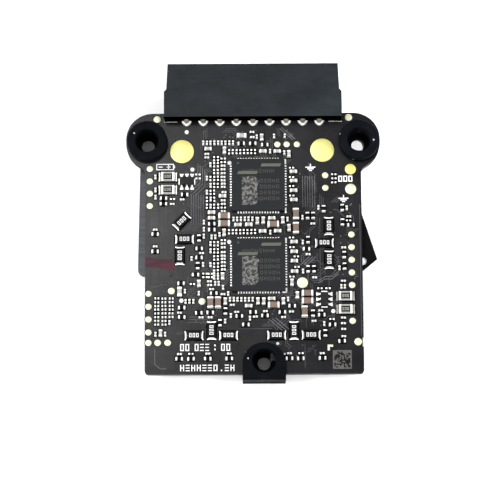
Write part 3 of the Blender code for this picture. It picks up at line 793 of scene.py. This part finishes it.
# Place and diameter of the round plated pads, by plating
ROUND_PADS = {
    "gold": [(-10.7, 11.27, 3.56), (10.4, 11.37, 3.56)],
    "pale": [
        (14.6, 5.37, 1.6), (7.23, -8.83, 1.6), (-14.42, 16.25, 1.05), (14.43, 16.42, 1.05),
        (15.37, -17.73, 1.1), (-14.27, -17.73, 0.95), (-12.8, -17.73, 0.95), (-12.25, -9.98, 1.0),
        (-7.7, -11.57, 1.0), (3.66, 12.3, 0.9), (5.07, 12.3, 0.9), (6.6, 12.3, 0.9),
        (10.8, 7.5, 0.9), (10.8, 5.57, 0.9),
    ],
    "deep_gold": [(14.6, 8.42, 1.6)],
}
EDGE_PADS = (
    column(-15.5, 8.62, 6.72, 4.82, 2.93) + column(14.6, -1.58, -3.5, -5.41, -7.33, -9.23, -14.6)
    + column(-15.65, -10.38, -12.33, -14.23, -16.18, -17.73)
)
PRINTED_DOTS = [
    (-9.98, 14.27, 0.6), (-9.13, 8.48, 0.6), (-10.77, -11.43, 0.62), (11.75, -13.13, 0.6),
    (3.47, -17.93, 0.42), (-3.55, 9.47, 0.62), (-3.64, -2.61, 0.62), (4.5, -19.47, 0.27),
]
# Left end and height on the drawing, length in glyphs, pitch, glyph height and seed
PRINTED_ROWS = [
    (-10.95, -18.45, 2, 0.78, 1.05, 2), (-8.8, -18.45, 3, 0.78, 1.05, 3), (-4.9, -18.45, 2, 0.78, 1.05, 2),
    (-10.95, -21.5, 7, 0.82, 0.95, 11), (-4.35, -21.5, 2, 0.82, 0.95, 5),
]
# Middle, width and height of the plain bars
PRINTED_BARS = [
    (-5.8, -18.75, 0.2, 0.26), (-5.8, -18.15, 0.2, 0.26), (-4.85, -21.88, 0.2, 0.2),
    (-12.4, 15.86, 2.0, 0.1), (-13.15, 15.86, 0.5, 0.18), (12.4, 15.86, 2.0, 0.1),
    (13.15, 15.86, 0.5, 0.18), (4.83, 9.625, 0.24, 0.75), (4.83, 2.15, 0.24, 0.8),
    (4.83, -2.45, 0.24, 0.8), (4.83, -9.95, 0.24, 0.7), (4.55, -10.25, 0.6, 0.2),
]


def round_pad(diameter, slot):
    """A plated pad that stands a little above the lacquer, with its rim rounded."""
    radius = diameter / 2
    rings = [[(x, y, z) for x, y in circle(0, 0, r, 40)]
             for r, z in ((radius, 0.0), (radius, 0.02), (radius - 0.04, 0.035))]
    return Shape().loft(rings, slot)


def make_pads():
    """Plated pads, each inside the dark rim of its opening in the lacquer."""
    shape = Shape()
    pads = [(*pad, slot, 0.3) for slot, kind in enumerate(("gold", "pale", "deep_gold"))
            for pad in ROUND_PADS[kind]]
    pads += [(x, y, 0.92, 1, 0.26) for x, y in EDGE_PADS]
    for x, y, diameter, slot, rim in pads:
        shape.stamp(round_pad(diameter, slot), *spot(x, y), TOP)
        shape.stamp(round_pad(diameter + rim, 3), *spot(x, y), TOP - 0.025)
    x, y = spot(10.85, -19.0)
    shape.block((x, y, TOP), (x + 0.3, y + 0.85, TOP + 0.03), 1)
    shape.block((x + 0.3, y + 0.55, TOP), (x + 0.8, y + 0.85, TOP + 0.03), 1)
    x, y = spot(16.05, -18.45)
    shape.block((x, y, TOP), (HALF_WIDTH - 0.01, y + 1.35, TOP + 0.02), 1)
    make_piece("plated_pads", shape, [GOLD, PALE_GOLD, DEEP_GOLD, DARK_CHIP])


def battery_symbol(marks, x, y):
    """A battery lying on its side, with a minus and a plus inside."""
    marks.outline(x, y, 2.65, 0.95, 0.13)
    marks.bar(x + 1.4, y, 0.15, 0.4)
    marks.bar(x - 0.675, y, 0.6, 0.14)
    marks.bar(x + 0.525, y, 0.6, 0.14)
    marks.bar(x + 0.525, y, 0.14, 0.6)


def ground_symbol(marks, x, y):
    """The circuit symbol for ground: a stem over three shorter and shorter bars."""
    marks.bar(x, y + 0.275, 0.14, 0.45)
    for width, drop in ((1.5, 0.0), (0.96, 0.25), (0.44, 0.5)):
        marks.bar(x, y - drop, width, 0.14)


def make_print():
    """White print: symbols by the supply pads, rows of plain glyph blocks, dots and bars."""
    shape = Shape()
    marks = Marks(shape, TOP, TOP + 0.018)
    battery_symbol(marks, *spot(-13.225, 8.9))
    ground_symbol(marks, *spot(8.6, 8.75))
    ground_symbol(marks, *spot(13.5, 3.95))
    for x in (13.05, 13.81, 14.57):
        marks.outline(*spot(x, 6.95), 0.58, 0.9, 0.14)
    for x, y, count, pitch, height, seed in PRINTED_ROWS:
        marks.glyphs(*spot(x, y), count, pitch, height, 0.15, seed)
    for x, y, width, height in PRINTED_BARS:
        marks.bar(*spot(x, y), width, height)
    for x, y, diameter in PRINTED_DOTS:
        shape.prism(circle(*spot(x, y), diameter / 2, 16), TOP, TOP + 0.028)
    make_piece("white_print", shape, [SILK])


def make_code_patch():
    """The grey square at the lower right: a border and a seeded scatter of small squares."""
    low, high = TOP, TOP + 0.012
    left, bottom = spot(11.6, -21.75)
    side, cells, filled = 2.78, 14, 0.42
    step = side / cells
    pick = random.Random(21)
    shape = Shape().block((left, bottom, low), (left + side, bottom + side, high - 0.006), 1)
    for i in range(cells):
        for j in range(cells):
            edge = i in (0, cells - 1) or j in (0, cells - 1)
            if edge or pick.random() < filled:
                x, y = left + i * step, bottom + j * step
                shape.block((x, y, low), (x + step, y + step, high))
    make_piece("code_patch", shape, [CODE_PRINT, MASK])


def bundle(path, count, dx, dy):
    """Copies of a line, each moved on by (dx, dy)."""
    return [[(x + dx * i, y + dy * i) for x, y in path] for i in range(count)]


TRACES = (
    bundle([(-10.6, -1.0), (-9.3, 0.3), (-9.3, 4.6)], 6, 0.36, 0.0)
    + bundle([(-9.7, 5.4), (-8.3, 6.8), (-8.3, 9.4)], 4, 0.34, -0.3)
    + bundle([(7.4, 7.4), (7.4, 2.6)], 6, 0.36, 0)
    + bundle([(-4.9, -9.6), (-3.7, -8.4)], 5, 0.0, 0.42)
    + bundle([(7.0, -6.1), (8.3, -4.9)], 3, 0.48, 0.0)
    + bundle([(4.0, 14.8), (6.0, 13.0)], 2, 0.35, 0.1)
    + bundle([(-9.6, -13.9), (-6.9, -13.9), (-6.2, -15.0)], 3, -0.1, -0.4)
    + bundle([(9.6, -8.9), (10.6, -8.3), (11.6, -8.3), (12.6, -7.5)], 2, 0.1, 0.4)
    + bundle([(2.2, -14.3), (4.2, -16.0)], 3, 0.5, 0.1)
    + [[(-14.7, -18.6), (-14.7, -20.9), (-13.9, -21.6), (-13.0, -21.6)]]
    + [[(-15.3, -9.3), (-14.2, -9.3), (-13.9, -9.0), (-12.9, -9.0)]]
)
# Faint steps at the rims of the wide copper areas under the lacquer
POUR_RIMS = [
    [(-15.3, -8.9), (-15.3, 2.4)], [(-13.1, -3.2), (-13.1, 3.0)], [(-12.4, -9.0), (-12.4, -7.2)],
    [(15.9, -16.8), (15.9, 3.0)], [(9.9, -8.6), (9.9, 1.0)], [(-7.2, -15.6), (-7.2, -20.8)],
    [(7.5, -18.0), (7.5, -21.6)], [(-15.3, 2.4), (-13.6, 2.4)], [(-15.3, -8.9), (-13.0, -8.9)],
    [(-2.3, -15.7), (2.6, -15.7)],
]
# Areas crossed by fine routing: x and y ranges, and the number of short bundles in each
ROUTED_AREAS = (
    ((-10.5, -7.0), (-3.0, 9.5), 22), ((5.2, 9.6), (-9.0, 8.0), 26), ((-14.5, -4.0), (-15.5, -8.4), 30),
    ((2.0, 13.0), (-16.0, -9.0), 26), ((-7.5, 6.0), (9.2, 14.6), 22), ((9.6, 15.2), (-9.5, 4.0), 20),
    ((-6.5, 6.0), (-2.2, 1.8), 14), ((-7.0, -4.0), (-9.5, 9.5), 16), ((-11.5, 10.5), (-20.8, -18.2), 12),
    ((-15.0, -9.5), (2.5, 4.8), 6),
)
UNDER_AREAS = (((-15.0, 15.0), (-21.0, -8.6), 60), ((-11.5, 11.5), (7.6, 14.5), 36))
# Wide copper areas under the lacquer, which stand a little above the rest
POURS = (
    [(-15.2, -8.9), (-14.3, -8.9), (-14.3, 2.2), (-15.2, 2.2)],
    [(-13.9, -8.7), (-12.3, -8.7), (-12.3, -7.3), (-11.6, -6.6), (-11.6, 1.9), (-12.2, 2.5), (-13.9, 2.5)],
    [(-9.4, -8.2), (-6.9, -8.2), (-6.9, -3.3), (-9.4, -3.3)],
    [(-15.4, -20.9), (-13.9, -21.7), (-11.8, -21.7), (-11.8, -18.9), (-15.4, -18.9)],
    [(-7.6, -17.9), (-2.4, -17.9), (-2.4, -15.2), (-7.6, -15.2)],
    [(12.0, -8.0), (15.6, -8.0), (15.6, -2.2), (12.0, -2.2)],
)
MARKER_STROKE = [(-16.12, -6.4), (-14.0, -6.55), (-12.1, -6.95), (-11.65, -6.75), (-12.2, -5.25),
                 (-14.1, -5.1), (-16.12, -4.95)]


def routing(areas, seed):
    """Seeded bundles of up to three thin lines that run straight and turn by 45 degrees."""
    pick = random.Random(seed)
    pitch = 0.36
    paths = []
    for (x0, x1), (y0, y1), count in areas:
        for _ in range(count):
            x, y = pick.uniform(x0, x1), pick.uniform(y0, y1)
            heading = pick.choice((0, 45, 90, 90, 135))
            lines = pick.choice((1, 1, 2, 2, 3))
            path = [(x, y)]
            for _ in range(pick.randint(1, 3)):
                length = pick.uniform(0.5, 1.7)
                x += length * math.cos(math.radians(heading))
                y += length * math.sin(math.radians(heading))
                path.append((x, y))
                heading += pick.choice((-45, 45))
            aside = math.radians(heading + 90)
            paths += bundle(path, lines, pitch * math.cos(aside), pitch * math.sin(aside))
    return [path for path in paths
            if all(abs(x) < HALF_WIDTH - 0.4 and -21.6 < y < 14.9 for x, y in path)]


def make_traces():
    """Copper under the lacquer: wide areas, the clear bundles of traces and the fine routing."""
    pours = Shape()
    for outline in POURS:
        pours.prism([spot(x, y) for x, y in outline], TOP - 0.01, TOP + 0.002)
    make_piece("copper_pours", pours, [POUR])
    for name, paths, width, height, material in (
            ("copper_traces", TRACES, 0.11, 0.014, TRACE_MASK),
            ("fine_routing", routing(ROUTED_AREAS, seed=5) + POUR_RIMS, 0.09, 0.012, ROUTE_MASK)):
        shape = Shape()
        for path in paths:
            shape.stroke([spot(x, y) for x, y in path], width, TOP - 0.01, TOP + height)
        make_piece(name, shape, [material])


def make_vias():
    """Small covered holes, scattered over the routed areas: a ring with a dimple in it."""
    pick = random.Random(9)
    via = Shape().lathe([(0.03, -0.02), (0.05, 0.014), (0.1, 0.012), (0.115, -0.01)], steps=12)
    shape = Shape()
    for (x0, x1), (y0, y1), count in ROUTED_AREAS:
        for _ in range(count):
            shape.stamp(via, *spot(pick.uniform(x0, x1), pick.uniform(y0, y1)), TOP)
    make_piece("vias", shape, [TRACE_MASK], closed_ring=True)


def make_marker_stroke():
    shape = Shape().prism([spot(x, y) for x, y in MARKER_STROKE], TOP - 0.004, TOP + 0.006)
    make_piece("marker_stroke", shape, [INK])


def make_pin_solder():
    """Solder round the connector's pins, on both sides of the board, with the pins' ends in it; the ends are
    darkened metal as painted shade from the housing above.
    """
    fillet = [(1.0, 0.0), (0.95, 0.12), (0.84, 0.22), (0.7, 0.26), (0.6, 0.22)]
    tip = [(0.6, 0.224), (0.52, 0.26)]
    shape = Shape()
    for number in range(1, 10):
        low, high = box_mm(f"battery_pin_{number}")
        x, y = (low.x + high.x) / 2, low.y + 0.25
        for up, level, size in ((1, TOP, 1.0), (-1, UNDER, 0.85)):
            for slot, profile in enumerate((fillet, tip)):
                rings = [[(x + 0.8 * px, y + py, level + up * z) for px, py in circle(0, 0, size * share, 28)]
                         for share, z in profile]
                shape.loft(rings, slot)
    make_piece("pin_solder", shape, [SOLDER, PIN_DARKENED])


def make_contacts():
    """Gold plating on the part of each pin that the plug touches, as a thin sleeve."""
    plating, thickness, start_y, taper = 0.012, 0.5, 18.2, 0.15
    shape = Shape()
    for number in range(1, 10):
        low, high = box_mm(f"battery_pin_{number}")
        x0, x1 = low.x - plating, high.x + plating
        rings = []
        for y, narrow in ((start_y, 0.0), (high.y - 0.3, 0.0), (high.y, taper)):
            z0, z1 = high.z - thickness - plating + narrow, high.z + plating - narrow
            rings.append([(x0, y, z0), (x1, y, z0), (x1, y, z1), (x0, y, z1)])
        shape.loft(rings)
    make_piece("pin_contacts", shape, [CONTACT])


# --- underside ---------------------------------------------------------------------------

PHASE_PADS = grid((-10.2, -7.7, -5.2, 5.2, 7.7, 10.2), (-10.3, 10.9))
TEST_PADS = grid((-13.6, -11.8, -10.0, -8.2, 6.8, 8.6, 10.4), (-20.2,)) + column(0.0, 8.4) + column(1.9, 8.4)
UNDER_PARTS = [(x, y) for y in (-16.2, -17.1) for x in (-9.3, -7.6, -5.9, 5.4, 7.1, 8.8, 10.5)]


def make_underside():
    """Motor-phase pads, test pads, small parts, transistor terminals and routing underneath."""
    plated = Shape()
    for pad in PHASE_PADS:
        for inset_by, depth, slot in ((0.0, 0.03, 0), (0.28, 0.16, 1), (0.5, 0.24, 1)):
            outline = rounded_box(0.85 - inset_by, 1.25 - inset_by, 0.84 - inset_by, 6)
            plated.stamp(Shape().prism(outline, UNDER - depth, UNDER + 0.01, slot), *spot(*pad))
    for pad in TEST_PADS:
        plated.prism(circle(*spot(*pad), 0.5), UNDER - 0.03, UNDER + 0.01, 2)
    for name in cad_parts:
        if name.startswith("power_transistor"):
            low, high = box_mm(name)
            for i in range(4):
                x = low.x + 0.68 + 0.65 * i
                for edge in (low.y, high.y):
                    plated.block((x - 0.2, edge - 0.16, high.z - 0.22), (x + 0.2, edge + 0.16, UNDER), 1,
                                 edge=0.02)
    make_piece("underside_pads", plated, [GOLD, SOLDER, PALE_GOLD])
    parts = Shape()
    for x, y in UNDER_PARTS:
        px, py = spot(x, y)
        parts.stamp(PART_SHAPES["small"], px, -py, 0, rng.uniform(-1.5, 1.5))
    # Half a turn about X hangs the parts under the board, each back at its own y
    parts.points = [Vector((p.x, -p.y, UNDER - p.z)) for p in parts.points]
    make_piece("underside_capacitors", parts, [BROWN, TIN])
    lines = Shape()
    for path in routing(UNDER_AREAS, seed=31):
        lines.stroke([spot(x, y) for x, y in path], 0.1, UNDER - 0.014, UNDER + 0.01)
    make_piece("underside_routing", lines, [ROUTE_MASK])


# --- grommets, housing, plate and film ---------------------------------------------------

# The lip that narrows a grommet's bore near its foot, as (radius, z) points
LIP = [(1.7, 1.5), (1.62, 1.38), (1.14, 1.14), (1.05, 1.06), (0.98, 0.96), (0.98, 0.5), (1.1, 0.34)]
# The levels between which a grommet's groove holds the board
GROOVE = (1.6, 3.8)


def grommet_profile(reach, neck, top, edge, steps, rim, flare):
    """A grommet's cross-section as (radius, z) points, from the upper flange round to the groove.

    `reach` and `neck` are the radii of the flanges and of the groove's floor, `edge` rounds the
    flanges, and `rim` and `flare` ease the groove's corners at its mouth and at its floor.
    """
    profile = arc(reach - edge, top - edge, edge, 0, 90, steps)
    profile += arc(1.95, top - 0.25, 0.25, 90, 180, 6) + LIP + arc(1.6, 0.2, 0.2, 200, 270, 4)
    profile += arc(reach - edge, edge, edge, 270, 360, steps)
    low, high = GROOVE
    return profile + [
        (reach, low - rim), (reach - rim, low), (neck + flare, low), (neck, low + rim),
        (neck, high - rim), (neck + flare, high), (reach - rim, high), (reach, high + rim)]


def make_grommet(name, shape):
    node = f"rubber_grommet_{name}"
    make_piece(f"grommet_{name}", shape, [RUBBER], body=node, replaces=[node], sharp=50,
               closed_ring=True)


def make_round_grommets():
    """Turned rubber: rounded flanges, a groove for the board and a bore with a lip."""
    for name in ("left", "right"):
        low, high = box_mm(f"rubber_grommet_{name}")
        x, y, _ = (low + high) / 2
        profile = grommet_profile((high.x - low.x) / 2, 2.0, high.z, 0.28, 6, rim=0.1, flare=0.05)
        make_grommet(name, Shape().stamp(Shape().lathe(profile, steps=72), x, y))


def tongue_reach(angle, radius, offset, end):
    """How far a tongue reaches from its bore's centre: round above `offset`, square at `end`."""
    c, s = math.cos(angle), math.sin(angle)
    round_reach = s * offset + math.sqrt(max(radius ** 2 - (c * offset) ** 2, 0.0))
    if round_reach * s >= offset:
        return round_reach
    reach = radius / max(abs(c), 1e-6)
    return min(reach, end / s) if s < 0 else reach


def make_front_grommet():
    """Tongue-shaped rubber: two flanges, a neck in the board's slot and a wall off the board."""
    offset, steps = 0.5, 80
    # The neck gives way to the wall where the sine of the angle falls below this
    wall_sine = -0.626
    low, high = box_mm("rubber_grommet_front")
    radius = (high.x - low.x) / 2
    x, y = (low.x + high.x) / 2, high.y + offset - radius
    end = low.y - y
    corner = math.atan2(end, radius)
    angles = [2 * math.pi * i / steps - math.pi for i in range(steps)] + [corner, -math.pi - corner]
    rings = []
    for a in sorted(angles):
        reach = tongue_reach(a, radius, -offset, end)
        in_wall = math.sin(a) < wall_sine
        neck = reach - 0.06 if in_wall else tongue_reach(a, 2.0, 0.0, end)
        profile = grommet_profile(reach, neck, high.z, 0.22, 5, rim=0.08, flare=0.02 if in_wall else 0.06)
        rings.append([(x + r * math.cos(a), y + r * math.sin(a), z) for r, z in profile])
    make_grommet("front", Shape().loft(rings + rings[:1], caps=False))


def spaced(start, end, step):
    """Even places from start to end, both included, about a step apart."""
    count = max(1, round((end - start) / step))
    return [start + (end - start) * i / count for i in range(count + 1)]


def sheet_mesh(outline, hole, columns, rows, top, bottom, lift):
    """A thin sheet with one hole: triangles on a grid, `lift` gives the sheet's waviness."""
    points, edges = [], []
    for loop in (outline, hole):
        base = len(points)
        points += [Vector(p) for p in loop]
        edges += [(base + i, base + (i + 1) % len(loop)) for i in range(len(loop))]
    points += [Vector(p) for p in grid(columns, rows)]
    flat, _, faces, _, _, _ = delaunay_2d_cdt(points, edges, [], 0, 1e-5)
    middle = sum((Vector(p) for p in hole), Vector((0, 0))) / len(hole)
    reach = min((Vector(p) - middle).length for p in hole)

    def inside(face):
        centre = sum((flat[i] for i in face), Vector((0, 0))) / len(face)
        crossings = 0
        for (ax, ay), (bx, by) in zip(outline, outline[1:] + outline[:1]):
            if (ay > centre.y) != (by > centre.y):
                crossings += centre.x < ax + (bx - ax) * (centre.y - ay) / (by - ay)
        return crossings % 2 and (centre - middle).length > reach * 0.97

    upper = [list(face) for face in faces if inside(face)]
    count = len(flat)
    sides = {(a, b) for face in upper for a, b in zip(face, face[1:] + face[:1])}
    rim = [[b, a, count + a, count + b] for a, b in sorted(sides) if (b, a) not in sides]
    lower = [[count + i for i in reversed(face)] for face in upper]
    levels = [(p.x, p.y, level + lift(p.x, p.y)) for level in (top, bottom) for p in flat]
    faces = upper + lower + rim
    return Shape().add(levels, faces, [0] * len(faces))


def make_film():
    """The insulating film and its folded tab, one slightly wavy sheet with a finer grid along the crease."""
    film_low, film_high = box_mm("insulation_film")
    tab_low, tab_high = box_mm("film_tab")
    x0, y0, y1 = film_low.x, film_low.y, film_high.y
    crease, corner, step = tab_low.x, 0.8, 0.9
    outline = arc(x0 + corner, y0 + corner, corner, 180, 270, 5)
    outline += [(crease, tab_low.y), (crease + 0.7, tab_low.y), (tab_high.x, -5.0), (crease, tab_high.y)]
    outline += [(crease - 0.12, tab_high.y + 0.15), (crease - 0.12, y1 - 0.5), (crease - 0.6, y1)]
    outline += arc(x0 + corner, y1 - corner, corner, 90, 180, 5)
    hole = circle(crease + 1.45, -5.3, 0.6)
    columns = spaced(x0 + 0.5, crease - 0.6, step) + spaced(crease - 0.4, crease + 0.5, 0.1)
    rows = spaced(y0 + 0.5, y1 - 0.5, step)

    def lift(x, y):
        return 0.016 * math.sin(1.1 * x + 0.5 * y) * math.cos(0.8 * y - 0.4 * x)

    shape = sheet_mesh(outline, hole, columns, rows, film_high.z, film_low.z, lift)
    sheet = make_piece("film_sheet", shape, [FILM], body=None,
                       replaces=["insulation_film", "film_tab"], sharp=30)
    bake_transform(sheet)


# Material of the CAD nodes that are shown as they are, and the rounding of their edges in millimetres; the
# battery pins' darkened metal is painted shade
CAD_FINISHES = {
    "circuit_board": (MASK, 0.08), "battery_connector_housing": (HOUSING, 0.16),
    "heat_spreader_plate": (SPREADER, 0.1), "thermal_pad": (THERMAL, 0.0), "battery_pin": (PIN_DARKENED, 0.08),
    "power_transistor": (DARK_CHIP, 0.08),
}
SHARP_EDGE = math.radians(40)


def round_edges(node, width):
    edges = node.modifiers.new("edges", "BEVEL")
    edges.width = width * MM
    edges.segments = 3
    edges.limit_method = "ANGLE"
    edges.angle_limit = SHARP_EDGE
    edges.harden_normals = True
    node.data.shade_smooth()
    node.data.set_sharp_from_angle(angle=SHARP_EDGE)


def paint_faces(node, mat, wanted):
    """Gives a second material to the faces whose direction is wanted."""
    node.data.materials.append(mat)
    turn = node.matrix_world.to_3x3()
    for face in node.data.polygons:
        face.material_index = 1 if wanted((turn @ face.normal).normalized()) else 0


def finish_cad_nodes():
    """Materials and rounded edges for the CAD nodes that are shown as they are."""
    for name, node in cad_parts.items():
        for key, (mat, rounding) in CAD_FINISHES.items():
            if name.startswith(key):
                node.data.materials.clear()
                node.data.materials.append(mat)
                if rounding:
                    round_edges(node, rounding)
    paint_faces(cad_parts["circuit_board"], LAMINATE, lambda normal: abs(normal.z) < 0.5)
    # Painted shade: the housing's rear-facing wall gets the near-black material
    paint_faces(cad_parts["battery_connector_housing"], HOUSING_REAR_PAINTED_SHADE, lambda normal: normal.y < -0.9)


# --- studio ------------------------------------------------------------------------------

FOCAL_LENGTH = 144.9
SENSOR = 36.0
CAMERA_DISTANCE = 300.0
CAMERA_TILT = math.radians(10.53)
CAMERA_ROLL = math.radians(0.33)
CAMERA_TARGET = (-0.545, -4.1, 3.5)
# Place and target in metres, side in metres and power in watts of each square lamp
LAMPS = {
    "key_left": ((-0.36, 0.05, 0.36), (0, 0, 0), 0.25, 2.6),
    "key_right": ((0.36, 0.05, 0.36), (0, 0, 0), 0.25, 2.0),
    "key_front": ((0.0, -0.42, 0.34), (0, 0, 0), 0.25, 2.2),
    "sheen_left": ((-0.075, 0.08, 0.42), (-0.012, 0, 0), 0.08, 0.65),
}
# Strength of the surround at the two ends of a span of its direction's y
WORLD_SPAN = (-0.75, 0.25)
WORLD_STRENGTH = (0.22, 0.7)


def make_camera():
    data = bpy.data.cameras.new("camera")
    data.lens = FOCAL_LENGTH
    data.sensor_width = SENSOR
    data.clip_start = 0.01
    data.clip_end = 10.0
    camera = bpy.data.objects.new("camera", data)
    bpy.context.scene.collection.objects.link(camera)
    back = Vector((0, -math.sin(CAMERA_TILT), math.cos(CAMERA_TILT)))
    camera.location = (Vector(CAMERA_TARGET) + back * CAMERA_DISTANCE) * MM
    turn = Matrix.Rotation(CAMERA_TILT, 3, "X") @ Matrix.Rotation(-CAMERA_ROLL, 3, "Z")
    camera.rotation_euler = turn.to_euler()
    bpy.context.scene.camera = camera


def add_light(name, data, place, target):
    light = bpy.data.objects.new(name, data)
    light.location = place
    light.rotation_euler = (Vector(place) - Vector(target)).to_track_quat("Z", "Y").to_euler()
    bpy.context.scene.collection.objects.link(light)
    return light


def make_lights():
    """Square lamps, one of which only adds sheen, and a beam through the right grommet's bore."""
    for name, (place, target, size, power) in LAMPS.items():
        data = bpy.data.lights.new(name, "AREA")
        data.shape = "SQUARE"
        data.size = size
        data.energy = power
        add_light(name, data, place, target).visible_diffuse = name != "sheen_left"
    beam = bpy.data.lights.new("bore_right", "SPOT")
    beam.spot_size = math.radians(5)
    beam.spot_blend = 0.2
    beam.shadow_soft_size = 0.002
    beam.energy = 2.4
    add_light("bore_right", beam, (0.066, 0.022, 0.26), (0.0159, 0.0124, 0.001)).visible_glossy = False


def make_world():
    """A white surround, darker in front of the board than above and behind it."""
    world = bpy.data.worlds.new("studio")
    world.use_nodes = True
    nodes, links = world.node_tree.nodes, world.node_tree.links
    nodes["Background"].inputs["Color"].default_value = (1.0, 1.0, 1.0, 1.0)
    direction = nodes.new("ShaderNodeSeparateXYZ")
    links.new(nodes.new("ShaderNodeTexCoord").outputs["Generated"], direction.inputs[0])
    brightness = nodes.new("ShaderNodeMapRange")
    for key, value in zip(("From Min", "From Max", "To Min", "To Max"), WORLD_SPAN + WORLD_STRENGTH):
        brightness.inputs[key].default_value = value
    links.new(direction.outputs["Y"], brightness.inputs["Value"])
    links.new(brightness.outputs["Result"], nodes["Background"].inputs["Strength"])
    bpy.context.scene.world = world


def make_studio():
    half = 1500
    floor = Shape().add([(-half, -half, 0), (half, -half, 0), (half, half, 0), (-half, half, 0)],
                        [[0, 1, 2, 3]], [0])
    paper = Finish("studio_floor", roughness=0.9, specular=0.1)
    paper.colour(paper.ramp(paper.noise(0.02), [(0.3, 0.9), (0.7, 0.93)]))
    make_piece("studio_floor", floor, [paper.material], body=None)
    make_world()
    make_lights()
    make_camera()
    bpy.context.scene.view_settings.view_transform = "Standard"


make_small_parts()
make_shunts()
make_sense_resistors()
make_capacitors()
make_controllers()
make_amplifiers()
make_pads()
make_print()
make_code_patch()
make_traces()
make_vias()
make_marker_stroke()
make_pin_solder()
make_contacts()
# The dark openings round the parts, partly painted shade
make_piece("mask_openings_and_painted_shade", openings_and_painted_shade, [OPENING_PAINTED_SHADE])
make_round_grommets()
make_front_grommet()
make_underside()
make_film()
finish_cad_nodes()
make_studio()
